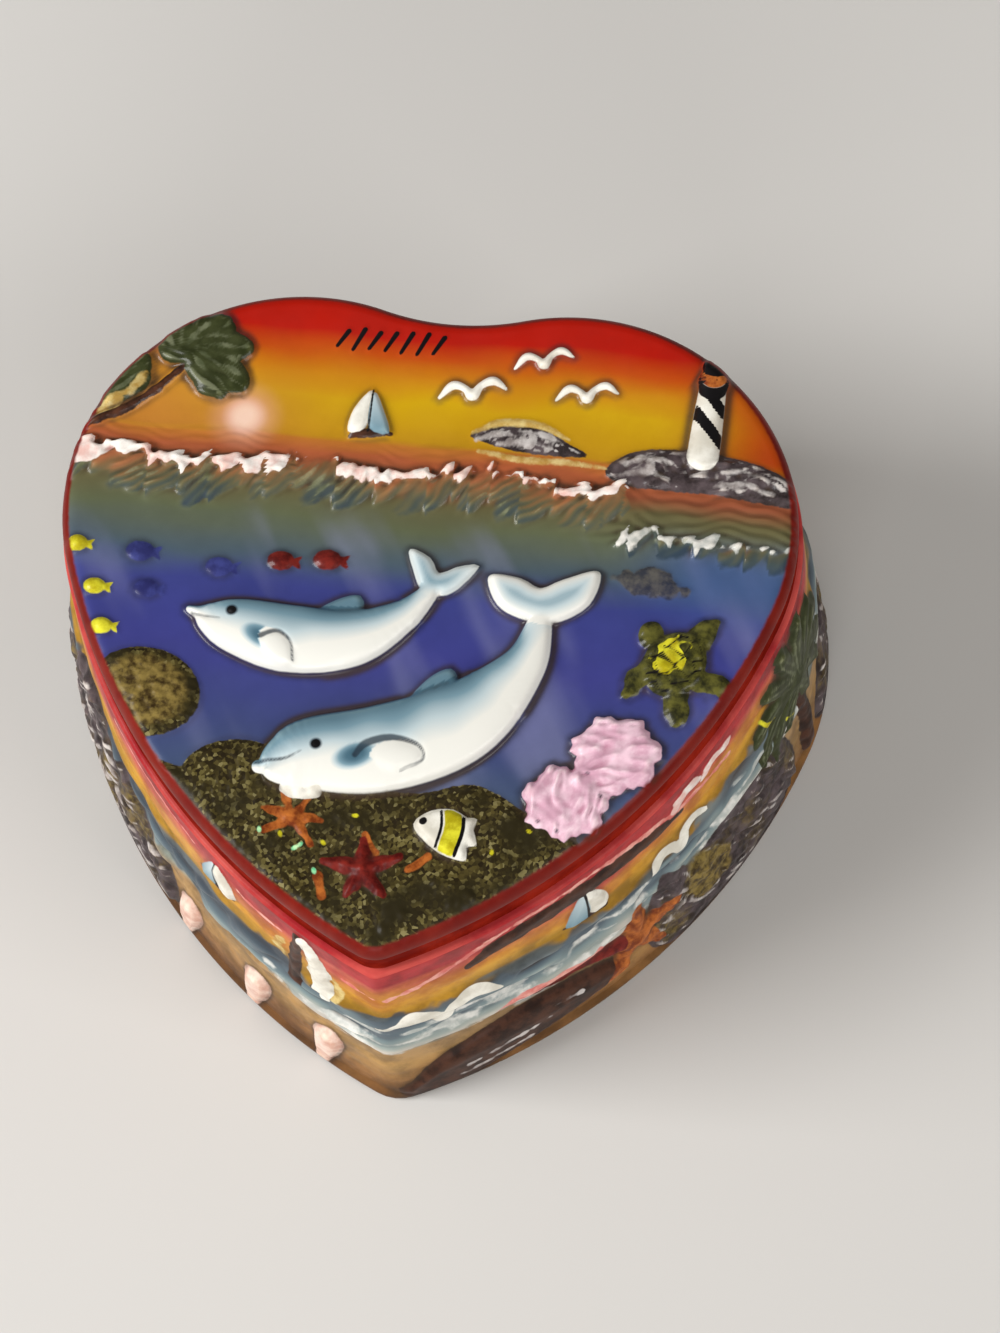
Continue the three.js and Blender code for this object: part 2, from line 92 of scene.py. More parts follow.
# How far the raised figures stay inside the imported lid's top and the base's foot
SPARE = 0.02

# The sizes of the small breaks on the edges at the seam and of the step, the round inside the floor, and the
# height of the foot's edge
BREAK = 0.4
BREAK_MIDDLE = 0.12
STEP_BREAK = 0.25
FLOOR_ROUND = 1.6
FOOT_EDGE = 0.5

# The plain wall under the relief: its share of the foot's flare and how it curves, and the heights where the
# foot's plain band starts and is full
FLARE_SHARE = 0.86
FLARE_CURVE = 1.5
BAND_TOP = 2.6
BAND_FULL = 0.9

# The three materials of each piece, in their slots
PICTURE, SIDE, BARE = range(3)

# Where the picture at the front of the wall gives way to the plainer one at the back, the middle of its sea
# and half its height, and the height of its white water
FRONT_END = 112
FRONT_FULL = 85
SEA_MIDDLE = 16.8
SEA_HALF = 4.5
WHITE_WATER = 14.6

# The paints of the figures, in the painter's order. Each has its dark and light colours and the scale of
# their patches, then its edge's softness and unevenness in millimetres, and how fully it covers. A colour
# is a six-digit code or one of the box's own colours. One without colours here is made by its own function.
FIGURE_PAINTS = (
    ("shade", ("16161f", "2c2a35", 500), 0.6, 0.4, 0.62),
    ("curl", (), 0.4, 0.6, 0.9),
    ("surf", ("b4b8b2", "ece8e0", 500), 0.16, 0.5, 0.8),
    ("ghost", ("2c2a30", "5c564c", 700), 0.2, 0.5, 0.85),
    ("gravel", (), 0.08, 0.3, 1),
    ("rock", ("271f1f", "594d4f", 420), 0.1, 0.4, 1),
    ("gold", ("362812", "84703a", 900), 0.5, 0.8, 1),
    ("brown", ("26140c", "4a2c1e", 500), 0.07, 0.2, 1),
    ("streak", ("8c827e", "d2cbc6", 600), 0.16, 0.4, 0.85),
    ("leaf", ("leaf", "3f4426", 420), 0.08, 0.2, 1),
    # Painted highlight: pale paint along the crests of palm fronds and of the breaking waves' strands
    ("crest_highlight", ("555c40", "868a6c", 500), 0.2, 0.4, 0.6),
    ("turtle", ("24240f", "5f5c26", 700), 0.08, 0.2, 1),
    ("pink", ("d0a0b2", "coral", 500), 0.07, 0.1, 1),
    ("shell", ("d2a08c", "f0d6c6", 350), 0.08, 0.2, 1),
    ("orange", ("6e2e10", "b8682c", 700), 0.1, 0.25, 1),
    ("red", ("4c0e0c", "78221a", 700), 0.1, 0.25, 1),
    ("blue", ("26285e", "3c4284", 500), 0.12, 0.25, 0.9),
    ("dolphin", (), 0.07, 0.05, 1),
    ("line", ("26323e",), 0.14, 0.08, 0.85),
    ("sand", ("b08a40", "dcc888", 600), 0.15, 0.4, 0.85),
    ("blush", ("d06a62", "f0b4a4", 420), 0.12, 0.4, 0.95),
    ("white", ("d0cabb", "f2eee2", 300), 0.06, 0.08, 1),
    ("foam", ("dfb4aa", "f0eae2", 420), 0.1, 0.3, 0.95),
    ("yellow", ("a89a12", "dcd632", 600), 0.08, 0.15, 1),
    ("glint", ("5cc48c", "c8f0b4", 1500), 0.08, 0.1, 1),
    ("black", ("0c0a0c",), 0.05, 0.03, 1),
    ("rim", ("edge_red", "7a1c10", 220), 0.2, 0.25, 1),
)
PAINTS = tuple(name for name, *_ in FIGURE_PAINTS)

# The dark painted shade laid as a wash in hollows, and the warmer painted shade on two of the paints
HOLLOW_SHADE = "3e3024"
WARM_HOLLOW_SHADES = {"pink": "a8647c", "foam": "a05c54"}

# Dolphin skin from belly to back, and the strands of the breaking waves from cold to warm
SKIN = ((0, "dolphin_belly"), (0.36, "dolphin_belly"), (0.58, "bccbce"), (0.78, "7695a2"),
        (1, "dolphin_back"))
LID_CURLS = ((0, "2f3d4a"), (0.26, "424c48"), (0.5, "5d5a42"), (0.76, "82603e"), (1, "a0603e"))
WALL_CURLS = ((0, "3a424b"), (0.3, "57646d"), (0.55, "7a8a8c"), (0.78, "9ca39c"), (1, "c4bcb0"))

# Grains of the sea floor, from the most common to the rarest
GRAINS = ((0, "gravel"), (0.4, "342c16"), (0.7, "4e4422"), (0.88, "6c6238"), (1, "867c52"))

# Water, horizon and sky up the lid's picture, by their height in the drawing, and where the picture ends
LID_BANDS = (
    (-46, "3f4e62"), (-30, "43536f"), (-24, "414a7c"), (-16, "deep_water"), (-9, "3c4286"), (-5.6, "4c5c68"),
    (-1.5, "62684c"), (1.5, "68603e"), (3.4, "925034"), (5.6, "b05c36"), (7, "be742c"), (7.5, "c08e16"),
    (12, "sky_low"), (14.6, "cc8a14"), (17.2, "c4500f"), (19.5, "sky_high"), (25.5, "b01606"),
)
LID_LOW, LID_HIGH = -50, 26

# Sand, sea and sky up the wall's picture
WALL_BANDS = (
    (0, "6a4626"), (3, "94683a"), (8, "b48c54"), (11.5, "ac8a60"), (13, "8f958a"), (15, "70827f"),
    (18.4, "545f68"), (20.9, "5c605e"), (21.5, "a87c20"), (24.6, "wall_gold"), (27, "c87a38"),
    (28.6, "c8604a"), (30, "b43236"), (34, "wall_red"),
)
WALL_LOW, WALL_HIGH = 0, 34

# The place of the painted sun on the lid, in metres
SUN = (-0.0199, (9.0 - MIDDLE_Y) * MM, 0)

# The studio's lamps, all aimed at the box: place and size in metres, and power in watts
LAMPS = (
    ("key", (-0.55, -0.15, 0.5), 0.35, 5.5),
    ("fill", (0.6, -0.3, 0.5), 0.4, 2.6),
    ("front", (0.05, -0.75, 0.3), 0.4, 2.2),
)
FLOOR_REACH = 3.0
FLOOR_COLOUR = (0.62, 0.60, 0.57, 1)
WORLD_COLOUR = (1.0, 0.97, 0.93, 1)
WORLD_STRENGTH = 0.2

# The camera's angles in radians, its distance and the place that it looks at in millimetres, and its lens
AZIMUTH, ELEVATION, ROLL = 0.2493, 1.1956, -0.1468
AIM_X, AIM_Y, DISTANCE = -5.262, -1.615, 439.57
PICTURE_HEIGHT, FOCAL_PIXELS, SENSOR = 1333.0, 4000.0, 36.0


def blend_between(low, high, value):
    """A smooth step from 0 at low to 1 at high."""
    share = np.clip((value - low) / (high - low), 0, 1)
    return share * share * (3 - 2 * share)


def hashed(cell, seed):
    """A repeatable value from 0 to 1 for each whole-number cell of shape (n, 3)."""
    mixed = cell[:, 0] * MIX_X + cell[:, 1] * MIX_Y + cell[:, 2] * MIX_Z + seed * MIX_SEED
    mixed &= 0xFFFFFFFF
    mixed = ((mixed ^ (mixed >> 13)) * MIX_Z) & 0xFFFFFFFF
    return ((mixed ^ (mixed >> 16)) & 0xFFFF) / 0xFFFF


def grain(spots, size, seed):
    """Smooth uneven values from 0 to 1 over points in space, with lumps of the given size."""
    place = spots / size
    cell = np.floor(place).astype(np.int64)
    part = place - cell
    part = part * part * (3 - 2 * part)
    total = np.zeros(len(spots))
    for corner in np.ndindex(2, 2, 2):
        weight = np.prod(np.where(corner, part, 1 - part), axis=1)
        total += weight * hashed(cell + np.array(corner), seed)
    return total


def pebbles(spots, size, seed):
    """How near each point is to the middle of its pebble, from 0 at the joints to 1."""
    place = spots / size
    cell = np.floor(place).astype(np.int64)
    first = np.full(len(spots), 9.0)
    second = first.copy()
    for step in np.ndindex(3, 3, 3):
        neighbour = cell + np.array(step) - 1
        middle = neighbour + np.stack([hashed(neighbour, seed + axis) for axis in range(3)], axis=1)
        gap = np.linalg.norm(place - middle, axis=1)
        second = np.minimum(second, np.maximum(first, gap))
        first = np.minimum(first, gap)
    return np.clip((second - first) * 1.6, 0, 1)


def domed(share, bow=1.0):
    """The height of a rounded back, from 1 in its middle to 0 at its edge."""
    return np.sqrt(np.clip(1 - share ** 2 * bow, 0, 1))


def uneven(n):
    """A repeatable value from 0 to 1 for a number."""
    value = math.sin(n * 127.1 + 11.7) * 43758.5453
    return value - math.floor(value)


def smooth_line(points, step=0.3, closed=False):
    """Points of a smooth curve through the given points, at about the given step."""
    given = np.array(points, float)
    if closed:
        before, start = np.roll(given, 1, axis=0), given
        end, after = np.roll(given, -1, axis=0), np.roll(given, -2, axis=0)
    else:
        start, end = given[:-1], given[1:]
        before = np.vstack([2 * given[0] - given[1], given[:-2]])
        after = np.vstack([given[2:], 2 * given[-1] - given[-2]])
    line = []
    for p0, p1, p2, p3 in zip(before, start, end, after):
        count = max(2, int(np.hypot(*(p2 - p1)[:2]) / step))
        t = np.linspace(0, 1, count, endpoint=False)[:, None]
        line.append(0.5 * (2 * p1 + (p2 - p0) * t + (2 * p0 - 5 * p1 + 4 * p2 - p3) * t ** 2
                           + (3 * p1 - p0 - 3 * p2 + p3) * t ** 3))
    if not closed:
        line.append(given[-1:])
    return np.vstack(line)


class Heart:
    """The heart's outline in arcs, measured round from its tip, positive to the right."""

    def __init__(self, scale, rounded_tip):
        lobe_radius, side_radius, cleft_radius = (r * scale for r in (LOBE_RADIUS, SIDE_RADIUS, CLEFT_RADIUS))
        tip_radius, tip_drop = TIP_RADIUS * scale, TIP_DROP * scale
        lobe = np.array([DRAWN_WIDTH * scale / 2 - lobe_radius, 0])
        between = np.array([0, tip_radius - tip_drop]) - lobe
        apart = np.hypot(*between)
        to_lobe, to_tip = side_radius - lobe_radius, side_radius - tip_radius
        along = (to_lobe ** 2 - to_tip ** 2 + apart ** 2) / (2 * apart)
        unit = between / apart
        side = lobe + unit * along + np.array([unit[1], -unit[0]]) * math.sqrt(to_lobe ** 2 - along ** 2)
        tip = np.array([0, side[1] - math.sqrt((side_radius - rounded_tip) ** 2 - side[0] ** 2)])
        cleft = np.array([0, math.sqrt((lobe_radius + cleft_radius) ** 2 - lobe[0] ** 2)])

        def heading(start, end):
            """The angle from one middle to another."""
            return math.atan2(end[1] - start[1], end[0] - start[0])

        self.arcs = [
            (tip, rounded_tip, -math.pi / 2, heading(side, tip), 1),
            (side, side_radius, heading(side, tip), heading(side, lobe), 1),
            (lobe, lobe_radius, heading(side, lobe), heading(lobe, cleft), 1),
            (cleft, cleft_radius, heading(cleft, lobe), -math.pi / 2, -1),
        ]
        self.half = sum(abs(end - start) * radius for _, radius, start, end, _ in self.arcs)

    def outline(self, share, offset=0.0):
        """Points at signed shares of the half outline from the tip, moved out by an offset."""
        left = np.clip(np.abs(share), 0, 1) * self.half
        x, y = np.zeros_like(left), np.zeros_like(left)
        passed = 0.0
        for middle, radius, start, end, out in self.arcs:
            length = abs(end - start) * radius
            angle = start + (end - start) * (left - passed) / length
            here = left >= passed - 1e-9
            x = np.where(here, middle[0] + (radius + out * offset) * np.cos(angle), x)
            y = np.where(here, middle[1] + (radius + out * offset) * np.sin(angle), y)
            passed += length
        return x * np.where(share < 0, -1, 1), y


class Sheet:
    """A sheet of points with its raised height and its painted areas, in the drawing's millimetres."""

    def __init__(self, x, y, spots, upward, skirt=0.0):
        self.x, self.y, self.spots, self.upward, self.skirt = x, y, spots, upward, skirt
        self.height = np.zeros_like(x)
        self.tone = np.zeros_like(x)
        self.areas = {name: np.full_like(x, FAR) for name in PAINTS}

    def drawn(self, near, along, up):
        """Points in space, stretched to give brush marks that run along the drawing or up it."""
        return self.spots[near] * np.where(np.arange(3) == self.upward, up, along)

    def near(self, line, reach):
        """Which points lie within reach of a line's box."""
        low, high = line[:, :2].min(0) - reach, line[:, :2].max(0) + reach
        return np.nonzero((self.x > low[0]) & (self.x < high[0]) & (self.y > low[1]) & (self.y < high[1]))[0]

    def swept(self, points, step=0.3):
        """Distances from a swept line of [x, y, half width], with the share along it and across it."""
        line = smooth_line(points, step)
        line[:, 2] = np.maximum(line[:, 2], 0.02)
        near = self.near(line, line[:, 2].max() + REACH)
        ahead = np.gradient(line[:, :2], axis=0)
        ahead /= np.maximum(np.linalg.norm(ahead, axis=1, keepdims=True), 1e-9)
        gap = np.hypot(self.x[near, None] - line[:, 0], self.y[near, None] - line[:, 1]) - line[:, 2]
        nearest = np.argmin(gap, axis=1) if len(near) else np.zeros(0, int)
        distance = gap[np.arange(len(near)), nearest]
        half = line[nearest, 2]
        aside = (ahead[nearest, 0] * (self.y[near] - line[nearest, 1])
                 - ahead[nearest, 1] * (self.x[near] - line[nearest, 0]))
        return near, distance, nearest / (len(line) - 1), np.clip(aside / half, -1, 1), half

    def polygon(self, points):
        """Distances from a closed outline, less than 0 inside."""
        line = smooth_line(points, 0.6, closed=True)
        near = self.near(line, REACH)
        x, y = self.x[near], self.y[near]
        distance = np.full(len(near), 99.0)
        inside = np.zeros(len(near), bool)
        for (ax, ay), (bx, by) in zip(line, np.roll(line, -1, axis=0)):
            wide, high = bx - ax, by - ay
            along = np.clip(((x - ax) * wide + (y - ay) * high) / (wide ** 2 + high ** 2), 0, 1)
            distance = np.minimum(distance, np.hypot(x - ax - along * wide, y - ay - along * high))
            if high:
                inside ^= ((ay > y) != (by > y)) & (x < ax + (y - ay) * wide / high)
        return near, np.where(inside, -distance, distance)

    def oval(self, x, y, half_long, half_wide, turn=0.0):
        """Distances from an oval, with each point's share from its middle to its edge."""
        near = self.near(np.array([[x, y]]), max(half_long, half_wide) + REACH)
        dx, dy = self.x[near] - x, self.y[near] - y
        a = (dx * math.cos(turn) + dy * math.sin(turn)) / half_long
        b = (-dx * math.sin(turn) + dy * math.cos(turn)) / half_wide
        share = np.hypot(a, b)
        return near, (share - 1) * min(half_long, half_wide), share

    def paint(self, area, near, distance):
        """Adds to a painted area."""
        self.areas[area][near] = np.minimum(self.areas[area][near], distance)

    def shade(self, near, distance, width):
        """Paints a dark line of a width round a figure."""
        self.paint("shade", near, distance - width)

    def unpaint(self, near, distance, *areas):
        """Takes paints off where a figure lies over them."""
        for area in areas:
            self.areas[area][near] = np.maximum(self.areas[area][near], -distance)

    def lift(self, near, distance, height, area=None, thick=1.0):
        """Raises the points inside a figure to its height, and paints its area down to its foot."""
        rise = np.clip(0.5 - distance / FOOT_RAMP, 0, 1)
        self.height[near] = np.maximum(self.height[near], height * rise)
        if area:
            self.paint(area, near, distance - self.skirt * min(thick, 1))

    def ridge(self, points, height, area, crisp=0.3, step=0.3, fine=0.0):
        """A rounded ridge along a line, tallest where it is widest."""
        near, distance, share, across, half = self.swept(points, step)
        widest = max(point[2] for point in points)
        tall = height * np.sqrt(half / widest) * (crisp + (1 - crisp) * domed(across))
        if fine:
            tall = tall * (1 - fine * grain(self.spots[near], 0.7, 5))
            distance = distance + fine * (0.15 + 0.6 * half) * (2 * grain(self.spots[near], 0.9, 15) - 0.9)
        self.lift(near, distance, tall, area, widest / 2)
        return near, distance, share, across

    def ridges(self, lines, height, area, fine=0.0):
        """Ridges of one height and paint."""
        for line in lines:
            self.ridge(line, height, area, fine=fine)

    def plate(self, points, height, area, roll=0.4, fine=0.0):
        """A flat-topped figure with rounded edges."""
        near, distance = self.polygon(points)
        depth = np.clip(-distance / roll, 0, 1)
        tall = height * (0.35 + 0.65 * np.sqrt(1 - (1 - depth) ** 2))
        if fine:
            tall = tall * (1 - fine * grain(self.spots[near], 0.8, 6))
        self.lift(near, distance, tall, area, 0.5)
        return near, distance

    def mound(self, x, y, half_long, half_wide, height, area, turn, lump):
        """A rounded mound covered in lumps of a size."""
        near, distance, share = self.oval(x, y, half_long, half_wide, turn)
        tall = height * (0.2 + 0.8 * domed(share)) * (0.62 + 0.38 * pebbles(self.spots[near], lump, 7))
        self.lift(near, distance, tall, area)
        return near, distance


# The figures. Their plain numbers are millimetres of the drawing, or shares of the figure's own size.

def rocks(sheet, outline, height, lump, seed, steep=0.0, moss=0.0, bright=0.0):
    """A bank of broken rock with pale wavy strokes along its ledges, and patches of moss."""
    near, distance = sheet.polygon(outline)
    spots = sheet.spots[near]
    coarse, fine = pebbles(spots, lump, seed), pebbles(spots, lump * 0.42, seed + 4)
    body = np.clip(-distance / 0.9, 0, 1) ** 0.5
    bent = sheet.y[near] + steep * sheet.x[near] + 2.8 * grain(spots, 1.5 * lump, seed + 2)
    bent = bent + 0.8 * grain(spots, 0.5 * lump, seed + 3)
    ledges = np.sin(bent * 2 * math.pi / (0.28 * lump + 0.4))
    broken = grain(sheet.drawn(near, 1.0 if steep else 0.5, 1.0), 0.45 * lump, seed + 9)
    tall = height * body * (0.4 + 0.34 * blend_between(0, 0.6, coarse) + 0.12 * fine + 0.14 * ledges)
    sheet.lift(near, distance, tall, "rock")
    sheet.unpaint(near, distance, "crest_highlight")
    pale = np.maximum(distance + 0.35, 0.4 * (0.45 - ledges) + 1.7 * (0.46 + 0.035 * lump - bright - broken))
    sheet.paint("streak", near, np.maximum(pale, 1.5 * (0.22 - coarse)))
    if moss:
        patches = 0.35 * lump * (1 - moss - grain(spots, 0.9 * lump, seed + 12))
        sheet.paint("gold", near, np.maximum(distance + 0.3, patches))


def gull(sheet, x, y, span, height, tilt=0.0):
    """A flying gull seen from the side: two arched wings that meet at a small body."""
    half, wing = span / 2, span * 0.07
    flap = [[-half, -0.15 * span, 0.35 * wing], [-0.6 * half, 0.05 * span, wing],
            [-0.22 * half, 0, 0.8 * wing], [0, -0.12 * span, 1.15 * wing],
            [0.25 * half, 0.05 * span, 0.8 * wing], [0.62 * half, 0.13 * span, wing],
            [half, 0.01 * span, 0.35 * wing]]
    cos, sin = math.cos(tilt), math.sin(tilt)
    placed = [[x + a * cos - b * sin, y + a * sin + b * cos, w] for a, b, w in flap]
    near, distance, *_ = sheet.ridge(placed, height, "white", crisp=0.5, step=0.15)
    sheet.shade(near, distance, 0.35)


def sailboat(sheet, x, y, tall, height, side=1):
    """A small boat with a white sail and a blue one, above a dark hull."""
    def at(a, b):
        """A point by its shares of the boat's height."""
        return [x + side * a * tall, y + b * tall]

    sheet.plate([at(-0.38, 0.14), at(-0.33, 0.6), at(-0.03, 1), at(-0.06, 0.24)], height, "white")
    near, distance = sheet.plate([at(-0.02, 0.24), at(0.0, 0.97), at(0.2, 0.66), at(0.37, 0.17)],
                                 height * 0.9, "dolphin")
    sheet.unpaint(near, distance, "white")
    inside = near[distance < 0.4]
    sheet.tone[inside] = 0.7 - 0.6 * (sheet.y[inside] - y) / tall
    sheet.ridge([[*at(-0.32, 0.07), 0.05 * tall], [*at(0, 0.14), 0.09 * tall], [*at(0.4, 0.17), 0.04 * tall]],
                height * 0.8, "brown")
    mast = [[*at(-0.01, 0.16), 0.025 * tall], [*at(-0.01, 1.02), 0.02 * tall]]
    sheet.ridge(mast, height, "black", step=0.15)


def palm(sheet, root, crown, trunk_width, fronds, height):
    """A palm with a thin leaning trunk and broad drooping fronds, grooved along their length, with a pale
    painted highlight along the grooves' crests.
    """
    bend = [(root[0] + crown[0]) / 2 + trunk_width * 0.6, (root[1] + crown[1]) / 2 - trunk_width * 1.7]
    sheet.ridge([[*root, trunk_width], [*bend, trunk_width * 0.85], [*crown, trunk_width * 0.65]],
                height * 0.8, "brown", fine=0.35)
    for turn, reach, droop, width in fronds:
        ahead_x, ahead_y = math.cos(math.radians(turn)) * reach, math.sin(math.radians(turn)) * reach
        line = [[*crown, 0.5 * width],
                [crown[0] + ahead_x * 0.4, crown[1] + ahead_y * 0.4 + droop * 0.25, width],
                [crown[0] + ahead_x * 0.75, crown[1] + ahead_y * 0.75 - droop * 0.2, width],
                [crown[0] + ahead_x, crown[1] + ahead_y - droop, 0.62 * width]]
        near, distance, share, across, _ = sheet.swept(line)
        grooves = np.abs(np.sin(across * 5.2 + 1.8 * np.sin(share * 3 + turn)))
        frill = 0.14 * np.abs(across) * (1 + np.sin(share * reach * 3.4 + turn))
        body = domed(across, 0.6) * (1 - 0.35 * share)
        tall = height * body * (0.72 + 0.28 * grooves ** 0.7)
        frilled = distance + frill
        sheet.lift(near, frilled, tall, "leaf")
        sheet.unpaint(near, frilled, "crest_highlight")
        # A pale painted highlight along the crests of the grooves, broken up unevenly
        highlight_gaps = 0.7 * (0.55 - grain(sheet.spots[near], 1.2, 12))
        sheet.paint("crest_highlight", near, np.maximum(frilled + 0.3, 0.8 * (0.84 - grooves) + highlight_gaps))
        sheet.shade(near, distance, 0.3)


def starfish(sheet, x, y, reach, height, turn, area):
    """A starfish with five uneven arms, each with a low crest along it."""
    for arm in range(5):
        angle = turn + arm * 2 * math.pi / 5 + 0.25 * (uneven(arm + x) - 0.5)
        long = reach * (0.85 + 0.3 * uneven(arm + y))
        tip = [x + math.cos(angle) * long, y + math.sin(angle) * long]
        bend = [(x + tip[0]) / 2 + 0.1 * reach * (uneven(arm) - 0.5), (y + tip[1]) / 2, 0.23 * reach]
        near, distance, _, across = sheet.ridge([[x, y, 0.3 * reach], bend, [*tip, 0.1 * reach]],
                                                height, area, step=0.15, fine=0.3)
        inside = near[(distance < 0) & (np.abs(across) < 0.3)]
        sheet.height[inside] += 0.08 * height
        sheet.shade(near, distance, 0.25)


def small_fish(sheet, x, y, long, height, area):
    """A small fish facing left: an oval body and a forked tail."""
    tail = ((0.2, 0.05), (0.52, 0.2), (0.43, 0), (0.5, -0.22), (0.2, -0.07))
    sheet.plate([[x + a * long, y + b * long] for a, b in tail], height * 0.6, area, roll=0.5)
    near, distance, share = sheet.oval(x - 0.08 * long, y, 0.38 * long, 0.29 * long)
    tall = height * (0.3 + 0.7 * domed(share))
    sheet.lift(near, distance, tall, area)
    sheet.shade(near, distance, 0.22)


def shell(sheet, x, y, tall, height):
    """A long ribbed seashell standing on its narrow end."""
    line = [[x - 0.05 * tall, y, 0.08 * tall], [x, y + 0.36 * tall, 0.17 * tall],
            [x + 0.04 * tall, y + 0.78 * tall, 0.22 * tall], [x + 0.07 * tall, y + tall, 0.1 * tall]]
    near, distance, _, across, _ = sheet.swept(line)
    ribs = 0.9 + 0.1 * np.cos(across * 9)
    rounded = height * domed(across) * 0.75 * ribs + height * 0.25
    sheet.lift(near, distance, rounded, "shell")
    sheet.shade(near, distance, 0.4)


def breakers(sheet, left, right, crest, height, pitch, foam_wide, seed, depth, thins=0.0, warm=0.9,
             spray_paint="foam"):
    """A breaking wave: combed strands that hang in curls from a ragged crest of foam, with a pale painted
    highlight along the strands' crests.
    """
    line = np.array([[x, crest] for x in np.linspace(left, right, 9)])
    near = sheet.near(line, depth + 2)
    x, y, spots = sheet.x[near], sheet.y[near], sheet.spots[near]
    ends = blend_between(left - 0.8, left + 3, x) * blend_between(right + 0.8, right - 3, x)
    beat = x / pitch + 0.8 * grain(sheet.drawn(near, 1, 0.2), 7, seed + 1)
    top = crest + 0.5 * np.sin(x * 0.32) + 0.9 * (np.mod(2 * beat, 1) ** 2 - 0.4)
    below = top - y + (grain(spots, 1.5, seed) - 0.5) * 0.8
    deep = np.maximum(below, 0)
    place = np.mod(beat + 0.5 * deep ** 1.5 / pitch, 1)
    scallop = depth * (0.52 + 0.4 * np.sin(math.pi * place) ** 0.7 + 0.3 * (grain(spots, 5, seed + 7) - 0.4))
    edge = np.minimum(below + 0.4, scallop - below)
    comb = x + 0.5 * deep ** 1.5 + 3 * grain(spots, 5, seed + 2) + 0.5 * grain(spots, 1.6, seed + 4)
    strands = np.sin(comb * 2 * math.pi / 1.8) * (0.35 + 0.9 * grain(spots, 1.6, seed + 9))
    swell = blend_between(-0.2, 1.8, edge)
    sheet.lift(near, -edge, height * ends * swell * (0.5 + 0.25 * place + 0.25 * strands), None)
    frayed = 0.5 * (grain(spots, 0.9, seed + 12) - 0.5)
    sheet.paint("curl", near, FAR * (1 - ends) + 0.4 - edge + frayed)
    # A pale painted highlight along the strands' crests, broken up unevenly
    pale = 0.5 * (0.7 - strands) + 1.6 * (0.6 - grain(spots, 1.9, seed + 13))
    sheet.paint("crest_highlight", near, np.maximum(0.7 - edge, pale) + FAR * (1 - ends))
    inside = (edge > -1.5) & (ends > 0.02)
    mix = warm - 1.7 * np.clip(below / depth, 0, 1) + 0.28 * strands
    mix = mix + 0.8 * (grain(spots, 2.6, seed + 8) - 0.5)
    sheet.tone[near[inside]] = np.clip(mix, -1, 1)[inside]
    drips = grain(sheet.drawn(near, 1, 0.4), 0.85, seed + 3)
    patches = grain(spots, 4.0, seed + 6)
    wide = foam_wide * (1 - thins * blend_between(left + 0.5 * (right - left), right, x))
    low = wide * (0.42 + 1.5 * (drips - 0.5) + 1.7 * (patches - 0.45))
    spray = np.maximum(-0.35 - below, below - low) + 0.6 * (grain(spots, 0.5, seed + 5) - 0.5)
    spray = spray + 2 * (1 - ends)
    foam = spray < 0
    rough = grain(spots, 0.45, seed + 11)
    sheet.height[near[foam]] = np.maximum(sheet.height[near[foam]], (height * (0.75 + 0.6 * rough))[foam])
    sheet.paint(spray_paint, near, spray)


def ripples(sheet, left, right, low, high, height, pitch, seed):
    """Low uneven ripples that run along x between two heights of the drawing."""
    near = sheet.near(np.array([[left, low], [right, high]]), 0.5)
    x, y, spots = sheet.x[near], sheet.y[near], sheet.spots[near]
    fade = blend_between(low - 0.6, low + 1.0, y) * blend_between(high + 0.6, high - 0.6, y)
    fade = fade * blend_between(left - 0.5, left + 5, x) * blend_between(right + 0.5, right - 1, x)
    bent = y + 0.5 * np.sin(x * 0.5 + seed) + 0.25 * np.sin(x * 1.3 + 2 * seed)
    wave = 0.5 + 0.5 * np.sin(bent * 2 * math.pi / pitch + 6 * grain(sheet.drawn(near, 0.5, 1), 3, seed))
    wave = wave * (0.4 + 0.9 * grain(spots, 2.4, seed + 4))
    sheet.height[near] = np.maximum(sheet.height[near], height * wave * fade)


def strokes(sheet, x, y, long, count, height):
    """A row of short slanted strokes."""
    for i in range(count):
        at = x + long * (i + 0.5) / count
        tall = 1.7 + 0.7 * uneven(i + 3)
        stroke = [[at - 0.5, y - tall / 2, 0.2], [at + 0.5, y + tall / 2, 0.28]]
        sheet.ridge(stroke, height, "black", step=0.1)


def lighthouse(sheet, x, y, tall, height):
    """A tapered tower with slanted dark bands, a gallery, a lantern and a dome."""
    def at(share, half):
        """A point of the tower by its share of the height, with its half width."""
        return [x + share * tall * 0.04, y + share * tall, half * tall]

    near, tower, share, across = sheet.ridge([at(0, 0.15), at(0.4, 0.14), at(0.74, 0.125)], height, "white")
    sheet.shade(near, tower, 0.3)
    climb = (0.74 * share - 0.15 * across) * tall
    for start in (0.29, 0.59):
        bar = np.abs(climb - start * tall) * 0.72 - 0.056 * tall
        sheet.paint("black", near, np.maximum(bar, tower))
    sheet.ridge([at(0.69, 0.13), at(0.77, 0.145)], height * 1.02, "black")
    near, distance, *_ = sheet.ridge([at(0.8, 0.12), at(0.9, 0.115)], height * 0.85, "orange")
    sheet.unpaint(near, distance, "white", "black")
    for side in (-0.05, 0.06):
        post = [[x + side * tall, y + 0.75 * tall, 0.1], [x + side * tall, y + 0.9 * tall, 0.1]]
        sheet.ridge(post, height, "black", step=0.1)
    sheet.ridge([at(0.92, 0.125), at(0.97, 0.1), at(1.02, 0.03)], height * 0.95, "black")


